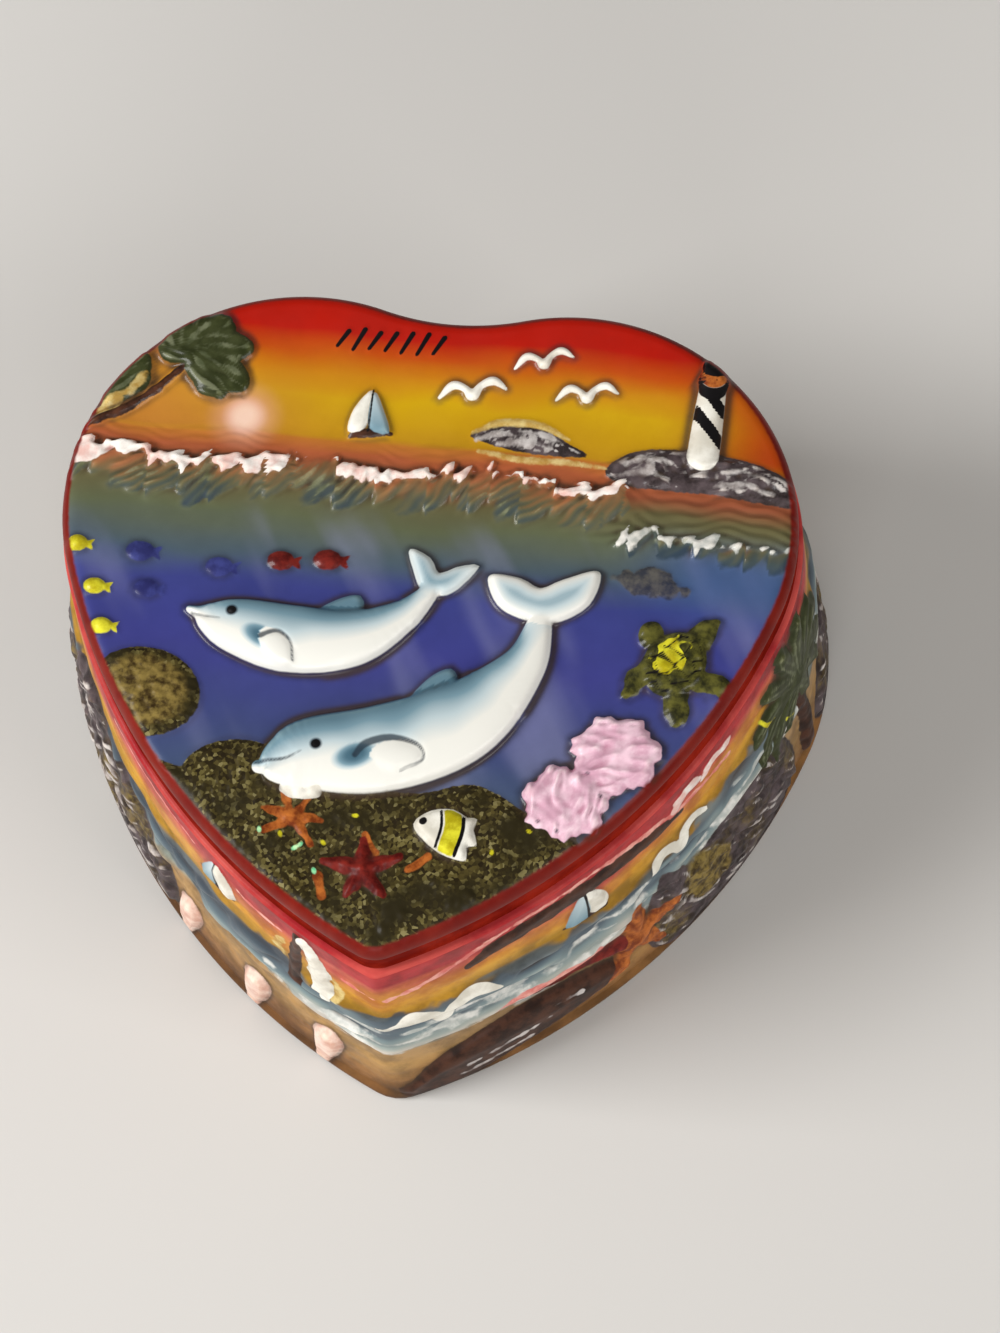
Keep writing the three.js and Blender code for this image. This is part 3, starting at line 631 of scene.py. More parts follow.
def dolphin(sheet, spine, flukes, fluke_tone, back_fin, breast_fin, fin_line, eye, mouth, height):
    """A leaping dolphin with tail flukes, a back fin, a breast fin, an eye and a mouth line."""
    near, distance = sheet.plate(back_fin, height * 0.42, "dolphin", roll=0.9)
    sheet.tone[near[distance < 0.3]] = 0.8
    sheet.shade(near, distance, 0.35)
    near, distance = sheet.plate(flukes, height * 0.5, "dolphin", roll=1.4)
    sheet.shade(near, distance, 0.35)
    inside = near[distance < 0.3]
    sheet.tone[inside] = fluke_tone + 0.9 * np.clip(-distance[distance < 0.3] / 1.8, 0, 1)
    near, distance, share, across, half = sheet.swept(spine)
    widest = max(point[2] for point in spine)
    tall = height * np.sqrt(half / widest) * (0.34 + 0.66 * domed(across))
    sheet.lift(near, distance, tall, "dolphin")
    sheet.shade(near, distance, 0.5)
    inside = distance < 0.3
    patches = 0.25 * (grain(sheet.spots[near], 3, 2) - 0.5)
    before = sheet.tone[near]
    body = before + blend_between(1, 0.86, share) * (across + patches - before)
    sheet.tone[near[inside]] = body[inside]
    _, _, fin_long, fin_wide, fin_turn = breast_fin
    near, distance, _ = sheet.oval(*fin_line[0][:2], 0.6 * fin_long, 0.6 * fin_wide, fin_turn + 0.3)
    sheet.tone[near] = np.maximum(sheet.tone[near], blend_between(1.4, -0.5, distance) * 2 - 1.0)
    near, distance, share = sheet.oval(*breast_fin)
    inside = distance < 0
    sheet.height[near[inside]] = np.maximum(sheet.height[near], height * 0.9 + 0.34 * domed(share))[inside]
    front = share * (sheet.x[near] < breast_fin[0])
    sheet.tone[near[inside]] = (-0.8 + 0.9 * blend_between(0.4, 1.4, front))[inside]
    for points in (fin_line, mouth):
        near, distance, *_ = sheet.swept(points, 0.15)
        sheet.height[near[distance < 0]] -= 0.14
        sheet.paint("line", near, distance)
    near, distance, _ = sheet.oval(*eye, 0.48, 0.46)
    sheet.lift(near, distance, np.full(len(near), float(sheet.height[near].max()) + 0.02), "black")
    sheet.paint("line", near, distance - 0.14)


def turtle(sheet, x, y, size, height):
    """A turtle with four flippers, a lumpy head and a shell of dark-edged scutes with a yellow patch."""
    for a, b, c, d in ((0.3, 0.4, 0.95, 1.25), (-0.4, 0.1, -1.15, -0.9), (0.4, -0.3, 1.45, -0.6),
                       (0.1, -0.6, 0.25, -1.6)):
        flipper = [[x + a * size, y + b * size, 0.3 * size],
                   [x + (a + c) * size * 0.55, y + (b + d) * size * 0.55, 0.36 * size],
                   [x + c * size, y + d * size, 0.22 * size]]
        near, distance, *_ = sheet.ridge(flipper, height * 0.6, "turtle", fine=0.4)
        sheet.shade(near, distance, 0.3)
    sheet.mound(x - 0.72 * size, y + 0.82 * size, 0.36 * size, 0.42 * size, height * 0.7, "turtle", 0, 1.4)
    near, distance, share = sheet.oval(x, y, 1.0 * size, 0.86 * size, 1.1)
    scutes = pebbles(sheet.spots[near], 1.9, 3)
    tall = height * (0.25 + 0.5 * domed(share) + 0.25 * blend_between(0, 0.35, scutes))
    sheet.lift(near, distance, tall, "turtle")
    sheet.shade(near, distance, 0.35)
    sheet.paint("black", near, np.maximum(distance + 0.3, 0.7 * (scutes - 0.1)))
    glow, gap, _ = sheet.oval(x - 0.12 * size, y + 0.2 * size, 0.6 * size, 0.46 * size, 0.9)
    sheet.paint("yellow", glow, gap + 1.5 * grain(sheet.spots[glow], 0.7, 2) - 0.4)


def coral_fan(sheet, x, y, reach, scallops, height, turn):
    """A fan of ruffled coral, with branching folds that spread from its foot to a frilled edge."""
    edge = []
    for i in range(scallops * 6):
        angle = i * math.pi / (3 * scallops)
        frill = 0.07 * math.sin(scallops * angle) + 0.05 * math.sin(2.6 * scallops * angle + turn)
        wide = reach * (0.92 + frill)
        edge.append([x + math.cos(angle) * wide, y + math.sin(angle) * wide * 0.92])
    near, distance = sheet.polygon(edge)
    spots = sheet.spots[near]
    dx = sheet.x[near] - x + 0.9 * reach * math.cos(turn)
    dy = sheet.y[near] - y + 0.9 * reach * math.sin(turn)
    radius = np.hypot(dx, dy)
    warp = 7 * grain(spots, 3.6, 4) + 4 * grain(spots, 1.5, 8)
    folds = 1 - np.abs(np.sin(np.arctan2(dy, dx) * 7 + warp + 0.5 * radius))
    curls = 1 - np.abs(np.sin(9 * grain(spots, 3.0, 14) + 4 * grain(spots, 1.1, 16) + 0.8 * radius))
    depth = np.clip(-distance / 0.5, 0, 1) ** 0.5
    tall = height * depth * (0.48 + 0.32 * folds ** 1.6 + 0.26 * curls ** 2)
    sheet.lift(near, distance, tall, "pink")
    sheet.shade(near, distance, 0.4)
    for i in range(scallops):
        angle = 2 * math.pi * (i + 0.4 * uneven(i)) / scallops
        pit_x, pit_y = x + math.cos(angle) * reach * 0.78, y + math.sin(angle) * reach * 0.72
        pit, gap, _ = sheet.oval(pit_x, pit_y, 0.24, 0.2)
        sheet.height[pit[gap < 0]] -= 0.4
        if uneven(i + x) > 0.55:
            sheet.paint("line", pit, gap)


def lid_picture(sheet, relief):
    """The lid's picture: sunset sky, breakers, water with dolphins, and the sea floor at the tip."""
    ripples(sheet, -40, 20, 4.6, 7.3, 0.16, 0.9, 3)
    ripples(sheet, 14, 40, -1.4, 4.4, 0.36, 1.25, 8)
    breakers(sheet, -41, 22, 4.3, 0.42 * relief, 7, 1.4, 11, depth=5.2, thins=0.55)
    breakers(sheet, 18, 41, -0.9, 0.3 * relief, 5, 1.3, 31, depth=2.8, warm=0.1, spray_paint="surf")
    sheet.plate([[-37.8, 4.3], [-36, 4.9], [-34.4, 4.3], [-32.6, 4.7], [-33.4, 3.5], [-35, 2.4],
                 [-37.6, 2.4]], 0.4 * relief, "foam", fine=0.6)
    islets(sheet, relief)
    palm(sheet, [-37.2, 6.1], [-26, 14.9], 0.6,
         [[160, 3.2, 0.2, 1.5], [128, 4, -0.4, 1.8], [98, 4.8, 0, 2], [60, 4.8, 0.2, 2.1],
          [24, 5.2, 0.5, 2.1], [340, 5.2, 0.5, 2.1], [315, 4.2, 0.3, 1.9]], 0.55 * relief)
    palm(sheet, [-35.6, 8.4], [-34.0, 9.9], 0.3, [[66, 5, 0.2, 2.3], [44, 4, 0.2, 1.7]], 0.5 * relief)
    sheet.ridge([[-36.4, 7.8, 0.3], [-34.6, 8.6, 0.5], [-33, 9.6, 0.5], [-31.6, 11, 0.5], [-30.6, 12.8, 0.3]],
                0.14 * relief, "sand", fine=0.7)
    sailboat(sheet, -7, 7.3, 5.6, 0.4 * relief)
    for x, y, span, tilt in ((3, 14, 6.8, 0.08), (9.9, 18, 6, 0.14), (14.7, 14.6, 6.2, 0.04)):
        gull(sheet, x, y, span, 0.32 * relief, tilt)
    strokes(sheet, -11.8, 18.6, 11.6, 7, 0.1 * relief)
    lighthouse(sheet, 27.1, 8.4, 10.9, 0.55 * relief)
    for x, y, long, area in ((-34.8, -6.5, 3, "yellow"), (-32.3, -11, 3, "yellow"), (-31, -15.2, 3, "yellow"),
                             (-28.2, -6.8, 3.8, "blue"), (-20, -7.8, 3.6, "blue"), (-27, -10.8, 3.4, "blue"),
                             (-13.8, -6.6, 3.6, "red"), (-9.1, -6.1, 3.8, "red")):
        small_fish(sheet, x, y, long, (0.12 if area == "blue" else 0.24) * relief, area)
    sheet.ridge([[19.6, -5.4, 0.4], [21.6, -5.6, 1.1], [24, -6, 1.2], [26.6, -6.2, 0.5]],
                0.18 * relief, "ghost", fine=0.6)
    sheet.plate([[21.4, -4.9], [22.8, -3.9], [25.2, -4.5], [24.4, -5.4]], 0.14 * relief, "ghost", fine=0.5)
    sea_floor(sheet, relief)
    coral_fan(sheet, 21.6, -24.2, 4.7, 7, 0.62 * relief, 0.9)
    coral_fan(sheet, 17.2, -29.6, 4.5, 7, 0.68 * relief, 2.4)
    turtle(sheet, 26.4, -14.2, 3.6, 0.5 * relief)
    dolphins(sheet, relief)


def islets(sheet, relief):
    """The lighthouse's rocks and the small islet, with pale strokes on them and sand at their feet."""
    rocks(sheet, [[17.4, 6], [19.2, 8], [22, 8.9], [27, 9], [33, 8], [38.5, 5.4], [38, 3.6], [28, 4.4],
                  [20, 4.6]], 0.5 * relief, 2.4, 4, bright=0.1)
    rocks(sheet, [[3.4, 8.8], [6, 10.1], [10.2, 10.2], [13.4, 8.8], [15.4, 7.5], [9, 7.4]],
          0.22 * relief, 1.2, 21, bright=0.2)
    sheet.ridges([[[4, 8.5, 0.12], [6.4, 9.3, 0.32], [8.8, 9, 0.12]],
                  [[6.2, 8.1, 0.12], [9, 8.5, 0.32], [12, 8, 0.12]],
                  [[8.4, 9.7, 0.12], [10.8, 9.5, 0.3], [13, 8.6, 0.12]]], 0.27 * relief, "streak", fine=0.7)
    sheet.ridges([[[19.4, 6.9, 0.15], [21.6, 7.9, 0.3], [24, 7.4, 0.15]],
                  [[19, 5.6, 0.15], [21.4, 6.3, 0.32], [23.8, 5.5, 0.15]],
                  [[29.2, 6.6, 0.15], [31.6, 7.1, 0.3], [34, 6.2, 0.15]],
                  [[28.6, 5.2, 0.15], [31.4, 5.6, 0.32], [34.6, 4.8, 0.15]],
                  [[34, 6.9, 0.12], [35.6, 6.1, 0.25], [37, 5.2, 0.1]]], 0.5 * relief, "streak", fine=0.7)
    sheet.ridges([[[3.6, 9.2, 0.2], [6.4, 10.5, 0.45], [10.4, 10.5, 0.4], [13.4, 9.2, 0.15]],
                  [[4.4, 7.2, 0.2], [9, 6.6, 0.4], [14, 6.7, 0.3], [17.4, 6.4, 0.15]]], 0.12 * relief, "sand")


def dolphins(sheet, relief):
    """The small dolphin and the large one in front of it."""
    dolphin(sheet,
            spine=[[-22.5, -12.7, 0.4], [-21.2, -13.1, 0.85], [-19.6, -13.7, 1.9], [-17, -14.2, 3],
                   [-12, -15, 3.6], [-6, -14.5, 3], [-1.4, -11.8, 1.8], [0.8, -9.4, 1.1], [1.8, -7.6, 0.8]],
            flukes=[[0.6, -8.8], [-0.6, -6.6], [-1.3, -4.2], [0.9, -5], [2, -6.6], [3.6, -5.8], [5.9, -5.4],
                    [4.2, -8], [2.6, -9]],
            fluke_tone=-0.1,
            back_fin=[[-10, -12.2], [-8, -10.4], [-5.6, -9.7], [-5.4, -11.8]],
            breast_fin=(-13.1, -16.3, 2.3, 1.25, -0.75), eye=(-18.1, -12.9),
            fin_line=[[-14.8, -15.4, 0.3], [-13.2, -14.8, 0.22], [-11.8, -15.8, 0.14], [-11.3, -17.7, 0.12]],
            mouth=[[-22.3, -13.2, 0.12], [-20.8, -13.6, 0.1], [-19.2, -13.8, 0.06]], height=0.85 * relief)
    dolphin(sheet,
            spine=[[-13.3, -28.8, 0.7], [-12.1, -28.7, 1.05], [-11.1, -28.2, 2.2], [-9.6, -27.5, 3.2],
                   [-7.8, -26.9, 3.9], [-1.5, -25.8, 4.6], [6, -22.3, 4.2], [11.4, -16, 2.3],
                   [12.8, -10.4, 1.1]],
            flukes=[[11.2, -10.9], [8.2, -9.5], [7, -6.4], [10.2, -6.4], [12.3, -7.3], [14.4, -6.2], [18, -5],
                    [17.4, -8.6], [14.2, -10.9]],
            fluke_tone=-0.5,
            back_fin=[[0.2, -21.6], [2, -18.2], [4.4, -16.7], [5.6, -18.8], [5, -20.6]],
            breast_fin=(0.2, -26.8, 2.5, 1.5, 0.1), eye=(-7.8, -26.4),
            fin_line=[[-3.8, -27.2, 0.3], [-2.8, -25.9, 0.4], [-0.4, -25.1, 0.34], [2.2, -25.6, 0.2],
                      [2.9, -27.0, 0.12], [0.8, -28.4, 0.1]],
            mouth=[[-13.8, -28.5, 0.14], [-12.2, -28.3, 0.16], [-10.6, -28, 0.14], [-9.2, -27.2, 0.06]],
            height=relief)


def sea_floor(sheet, relief):
    """Gravel, coral mounds, stones, a striped fish and starfish on the sea floor."""
    near, distance = sheet.polygon([[-33, -26], [-21, -29.6], [-14.5, -27.4], [-8, -30], [2, -30.2],
                                    [8, -28.8], [13, -31], [19, -35], [10, -48], [0, -56], [-12, -48]])
    gravel = pebbles(sheet.spots[near], 0.8, 15)
    patches = grain(sheet.spots[near], 3, 18)
    tall = 0.22 * relief * blend_between(0.2, -0.9, distance) * (0.6 + 0.3 * gravel + 0.5 * patches)
    sheet.lift(near, distance - 0.2, tall, "gravel")
    for place, high, area, turn, lump in (((-26, -21.8, 5.8, 4.7), 0.45, "gravel", -0.15, 0.9),
                                          ((-26, -21.8, 4.4, 3.6), 0.52, "gold", -0.15, 0.8),
                                          ((-15.6, -30, 5.6, 4), 0.38, "gravel", 0.1, 0.7),
                                          ((-12.4, -27.6, 3.2, 1.6), 0.3, "gravel", 0.5, 0.7)):
        sheet.mound(*place, high * relief, area, turn, lump)
    for x, y, size in ((2, -42.8, 3), (-4.5, -44.4, 2.1), (5.8, -39.4, 2), (-9, -40, 1.8), (8, -41, 2.2)):
        sheet.mound(x, y, size, size * 0.66, 0.42 * relief, "gravel", uneven(x), 1.2)
    for tip in ((-12.6, -35.6), (-7.2, -36.4), (-10.6, -31), (-8, -31.6), (-6.4, -33.8), (-12.4, -33)):
        sheet.ridge([[-9.6, -33.6, 0.65], [(tip[0] - 9.6) / 2 + 0.2, (tip[1] - 33.6) / 2, 0.5], [*tip, 0.25]],
                    0.42 * relief, "orange", fine=0.5)
    sheet.ridge([[-10.6, -30.8, 0.4], [-9, -31.2, 0.65], [-7.2, -30.9, 0.5]], 0.5 * relief, "white", fine=0.4)
    starfish(sheet, -1.8, -38.4, 3.5, 0.5 * relief, 1.7, "red")
    sheet.ridges([[[-2, -34.8, 0.3], [-0.8, -36.6, 0.5]], [[2.6, -38, 0.3], [4.4, -36.6, 0.5]],
                  [[-5.4, -41.6, 0.3], [-6, -39.6, 0.5]]], 0.34 * relief, "orange", fine=0.5)
    striped_fish(sheet, relief)
    for x, y in ((-3.2, -33), (-10.3, -35.5), (-8.7, -36.8), (-6, -36), (-6.5, -39), (14, -33), (10.6, -35.5),
                 (-12.4, -35.3), (-8.2, -36.4)):
        near, distance, _ = sheet.oval(x, y, 0.34, 0.22, uneven(x) * 3)
        sheet.paint("glint" if uneven(y) < 0.6 else "yellow", near, distance)


def striped_fish(sheet, relief):
    """A white fish with a broad yellow stripe between two thin black ones."""
    body = [[2.6, -33.4], [4.2, -31.8], [6.4, -31.5], [7.8, -32.2], [8.8, -32.2], [8.6, -33.4], [9.1, -35],
            [8.1, -35.2], [8.2, -36.6], [6.3, -36.4], [4.4, -35.4]]
    near, distance = sheet.plate(body, 0.55 * relief, "white", roll=0.9)
    sheet.shade(near, distance, 0.35)
    inside = np.full(len(sheet.x), FAR)
    inside[near] = distance + 0.12
    for x, half, area in ((6.3, 0.85, "yellow"), (5.15, 0.16, "black"), (7.3, 0.2, "black")):
        stripe = [[x - 0.1, -30.8, half], [x + 0.3, -33.6, half], [x - 0.4, -36.8, half]]
        near, bar, *_ = sheet.swept(stripe, 0.15)
        sheet.paint(area, near, np.maximum(bar, inside[near]))
    near, distance, _ = sheet.oval(3.6, -33.1, 0.42, 0.42)
    sheet.paint("black", near, distance)


def wall_picture(sheet, relief):
    """The picture round the wall: sunset sky and sea above a beach with a log, rocks, shells and palms."""
    wall_background(sheet, relief)
    sheet.ridge([[9.5, 27, 0.5], [14, 29, 1.3], [22, 29.3, 1.5], [30, 28.4, 1.3], [36, 27.2, 0.4]],
                0.35 * relief, "brown", fine=0.4)
    sheet.ridges([[[0.5, 26.2, 0.2], [6, 28, 0.35], [11, 30.4, 0.45], [15, 31.4, 0.35], [24, 31.4, 0.35],
                   [31, 30, 0.3], [37, 28, 0.4], [44, 27, 0.2]],
                  [[-40, 30, 0.2], [-30, 30.6, 0.35], [-24.4, 30, 0.2]],
                  [[-17.6, 29.2, 0.2], [-14, 28.8, 0.35], [-11.6, 28.8, 0.2]],
                  [[-4, 27.4, 0.35], [-0.5, 26.4, 0.2]]], 0.16 * relief, "blush", fine=0.8)
    # Pale pink-white lumps high on the right: small clouds in foam paint that also stand as painted
    # highlights on the red band
    sheet.ridges([[[35.6, 29.2, 0.7], [37.4, 30.6, 1], [38.8, 29.8, 0.5]],
                  [[39.6, 28.8, 0.3], [40.8, 30.4, 0.6]],
                  [[41, 30.6, 0.5], [43.8, 30.2, 0.6]]], 0.32 * relief, "foam", fine=0.5)
    drift_log(sheet, relief)
    for x, y, span, tilt in ((5.8, 19.8, 12, -0.05), (35, 21.9, 8.4, 0.05), (-94, 26, 10, 0.1)):
        gull(sheet, x, y, span, 0.4 * relief, tilt)
    sailboat(sheet, 22.8, 21.7, 6.6, 0.45 * relief, side=-1)
    rocks(sheet, [[30, 2], [29.5, 9], [31.5, 16.5], [34, 16], [36, 13], [41, 15.4], [45, 15.4], [52, 13.5],
                  [54, 4], [50, 1.2], [38, 1]], relief, 4.2, 61, steep=0.9, moss=0.2)
    rocks(sheet, [[60, 1.5], [63, 8], [69, 10.5], [76, 7.5], [78, 2], [70, 1]],
          0.8 * relief, 3.8, 83, steep=0.5, moss=0.25)
    rocks(sheet, [[-62, 2], [-63, 10], [-60, 15], [-55, 16], [-52, 21], [-46, 22.5], [-42, 18], [-38, 19.5],
                  [-34, 14], [-31, 12], [-29.5, 6], [-31, 2], [-45, 1]],
          relief, 4.6, 97, steep=-0.6, moss=0.3)
    near, distance = sheet.mound(37.6, 9.4, 3.2, 4.2, 1.05 * relief, "gold", 0.3, 1.3)
    sheet.unpaint(near, distance, "rock", "streak")
    crown = [[188, 8, 4.5, 1.3], [160, 8.6, 2.4, 1.3], [128, 9, 0.6, 1.4], [102, 10, 0.2, 1.4],
             [78, 10, 0.2, 1.4], [52, 9, 0.6, 1.4], [20, 8.6, 2.4, 1.3], [352, 8, 4.5, 1.3],
             [318, 8, 3, 1.2], [222, 8, 3, 1.2], [250, 7, 1, 1.2], [290, 7, 1, 1.2]]
    palm(sheet, [57, 3], [56.4, 21], 1.3, crown, 0.9 * relief)
    palm(sheet, [-66, 3], [-70, 20], 1.3, crown, 0.8 * relief)
    fruit = [[[49.2, 24.4, 0.12], [50, 22.8, 0.3], [51.2, 22, 0.12]],
             [[53, 18.2, 0.12], [53.4, 16.8, 0.3], [54.6, 15.8, 0.12]]]
    sheet.ridges(fruit, 0.9 * relief, "yellow", fine=0.6)
    starfish(sheet, 27.4, 9.6, 5.4, 0.8 * relief, 1.5, "orange")
    starfish(sheet, -92, 8, 4.6, 0.6 * relief, 0.3, "orange")
    for x in (-27, -16.5, -7, 80, -84, 103):
        shell(sheet, x, 1.2, 7.4, 0.85 * relief)
    perched_bird(sheet, relief)
    sailboat(sheet, -20.8, 24.6, 6.4, 0.45 * relief, side=-1)


def wall_background(sheet, relief):
    """Brushed paint, grainy sand and the breaking sea, duller left of the tip and plainer at the back."""
    every = np.arange(len(sheet.x))
    dabs = grain(sheet.drawn(every, 0.4, 1.3), 1.5, 5)
    fine_dabs = grain(sheet.drawn(every, 0.5, 1.4), 0.8, 25)
    in_sea = blend_between(11.5, 14, sheet.y) * blend_between(23, 20.5, sheet.y)
    thick = 0.22 * blend_between(31, 27, sheet.y) * dabs
    thick = thick + in_sea * (0.55 * blend_between(0.35, 0.75, dabs) + 0.25 * fine_dabs)
    sand = 0.16 * relief * pebbles(sheet.spots, 1.0, 17) * blend_between(13, 9, sheet.y)
    sheet.height = np.maximum(np.maximum(sheet.height, thick), sand)
    swirl = 2.4 * grain(sheet.spots, 7, 31) - 1.2
    front = blend_between(FRONT_END, FRONT_FULL, np.abs(sheet.x))
    dull = front * blend_between(-6, -18, sheet.x)
    sea = np.abs(sheet.y - SEA_MIDDLE - 0.9 * dull - swirl) - SEA_HALF + 1.3 * dull
    sheet.paint("curl", every, sea + 2.4 * (grain(sheet.spots, 1.6, 32) - 0.5))
    sheet.tone = np.clip(1.7 * (dabs - 0.5) + 0.17 * (17 - sheet.y) - 0.5 * dull, -1, 1)
    crests = 0.6 * grain(sheet.drawn(every, 0.34, 1.2), 0.9, 44) + 0.4 * grain(sheet.spots, 2.6, 45)
    rising = 1.2 * front * blend_between(10, 30, sheet.x)
    white_water = np.abs(sheet.y - WHITE_WATER - swirl - rising) - 3.3
    sheet.paint("surf", every, np.maximum(2.2 * (0.57 - crests) + 0.5 * dull, white_water))


def drift_log(sheet, relief):
    """A rough log on the beach beside the tip, with pale streaks, and red growth above it."""
    near, distance, _, across, _ = sheet.swept([[2.4, 2, 2], [7, 4.6, 3.7], [14, 6.8, 4], [20, 7, 3],
                                                [24.6, 6.2, 1.4]])
    bark = grain(sheet.drawn(near, 0.25, 1.6), 1.4, 6)
    tall = 0.95 * relief * (0.3 + 0.7 * domed(across)) * (0.93 + 0.07 * bark)
    sheet.lift(near, distance, tall, "brown")
    for line in ([[7, 4.6, 0.2], [11, 5.8, 0.35], [16, 6.9, 0.2]],
                 [[6, 2.2, 0.2], [10, 3.4, 0.3], [14, 4.2, 0.15]],
                 [[17, 8.6, 0.1], [18.6, 8.5, 0.25], [20, 8.1, 0.1]]):
        near, distance, *_ = sheet.swept(line)
        sheet.paint("streak", near, distance + 1.2 * (grain(sheet.spots[near], 0.9, 3) - 0.5))
    sheet.ridge([[15, 12.4, 0.5], [20, 12.2, 1.3], [25, 10.8, 1]], 0.45 * relief, "red", fine=0.5)
    sheet.ridge([[11, 13, 0.4], [16, 13.8, 0.7], [23, 13, 0.5]], 0.5 * relief, "blush", fine=0.7)


def perched_bird(sheet, relief):
    """A white bird beside a post, with two dark feather lines, and dry grass on both sides."""
    sheet.ridge([[-10.3, 18.6, 0.9], [-10, 25, 0.7], [-9.2, 31.4, 0.55]], 0.5 * relief, "brown", fine=0.3)
    sheet.ridge([[-6.4, 19.4, 0.5], [-6.8, 23.5, 1.3], [-7.5, 27.5, 1], [-8.4, 31.4, 0.5]],
                0.6 * relief, "white", fine=0.5)
    for line in ([[-7.8, 20.8, 0.2], [-6.4, 23, 0.4], [-7.4, 25, 0.2]],
                 [[-7.6, 25.6, 0.15], [-6.8, 27, 0.3]]):
        near, distance, *_ = sheet.swept(line, 0.15)
        sheet.paint("line", near, distance)
    sheet.ridges([[[-11.8, 22, 0.3], [-12.4, 24, 0.7], [-11.6, 27, 0.3]],
                  [[-5, 20.6, 0.3], [-4.6, 23, 0.6], [-5.2, 25, 0.3]]], 0.3 * relief, "sand", fine=0.8)


def blurred(grid, passes, wrap):
    """A grid of heights blurred with its neighbours, joined round its columns if it wraps."""
    for _ in range(passes):
        if wrap:
            padded = np.concatenate([grid[:, -1:], grid, grid[:, :1]], axis=1)
        else:
            padded = np.pad(grid, ((0, 0), (1, 1)), mode="edge")
        grid = (padded[:, :-2] + 2 * padded[:, 1:-1] + padded[:, 2:]) / 4
        padded = np.pad(grid, ((1, 1), (0, 0)), mode="edge")
        grid = (padded[:-2] + 2 * padded[1:-1] + padded[2:]) / 4
    return grid


def signed_share(turn):
    """An angle from the tip, turned into a signed share of the half outline."""
    share = np.mod(turn / math.pi, 2)
    return np.where(share > 1, share - 2, share)


def ring_faces(first, second):
    """Quads between two rings of vertices."""
    return np.stack([first, np.roll(first, -1), np.roll(second, -1), second], axis=1)


def border(grid):
    """The values round the edge of a square grid, in order."""
    return np.concatenate([grid[0, :-1], grid[:-1, -1], grid[-1, :0:-1], grid[:0:-1, 0]])


class Piece:
    """Collects a closed mesh in rings and sheets, with its materials and painted areas."""

    def __init__(self):
        self.points, self.faces, self.caps, self.slots, self.count = [], [], [], [], 0

    def add(self, x, y, z):
        """Adds points, and gives their numbers."""
        self.points.append(np.stack([x, y - MIDDLE_Y, z + 0 * x], axis=1))
        self.count += len(x)
        return np.arange(self.count - len(x), self.count)

    def quads(self, faces, slot):
        """Adds four-sided faces in one material."""
        self.faces.append(faces)
        self.slots.append(np.full(len(faces), slot))

    def cap(self, ring, slot):
        """Closes a ring of points with one flat face."""
        self.caps.append((ring.tolist(), slot))

    def tube(self, previous, share, outlines, order):
        """Quads from ring to ring of [heart, offset, z, material], up if the order is 1, down if it is -1."""
        for shape, offset, z, slot in outlines:
            ring = self.add(*shape.outline(share, offset), z)
            self.quads(ring_faces(*(previous, ring)[::order]), slot)
            previous = ring
        return previous

    def finish(self, name, materials, sheet, level, hollow, node, slot):
        """Makes the object, in metres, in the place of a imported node. Its first points are the sheet's."""
        values = {**sheet.areas, "level": level, "hollow": hollow.ravel(), "tone": sheet.tone}
        points = np.vstack(self.points) * MM
        faces = [row for block in self.faces for row in block.tolist()]
        faces += [ring for ring, _ in self.caps]
        mesh = bpy.data.meshes.new(name)
        mesh.from_pydata(points.tolist(), [], faces)
        indices = np.concatenate(self.slots + [np.array([s for _, s in self.caps], int)]).astype(np.int32)
        mesh.polygons.foreach_set("material_index", indices)
        smooth = np.ones(len(faces), bool)
        smooth[len(faces) - len(self.caps):] = False
        mesh.polygons.foreach_set("use_smooth", smooth)
        for label, data in values.items():
            whole = np.full(self.count, FAR if label in PAINTS else 0, np.float32)
            whole[:len(data)] = data
            mesh.attributes.new(label, "FLOAT", "POINT").data.foreach_set("value", whole)
        for material in materials:
            mesh.materials.append(material)
        mesh.validate()
        mesh.update()
        piece = bpy.data.objects.new(name, mesh)
        bpy.context.collection.objects.link(piece)
        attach(piece, BODY)
        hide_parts(node)


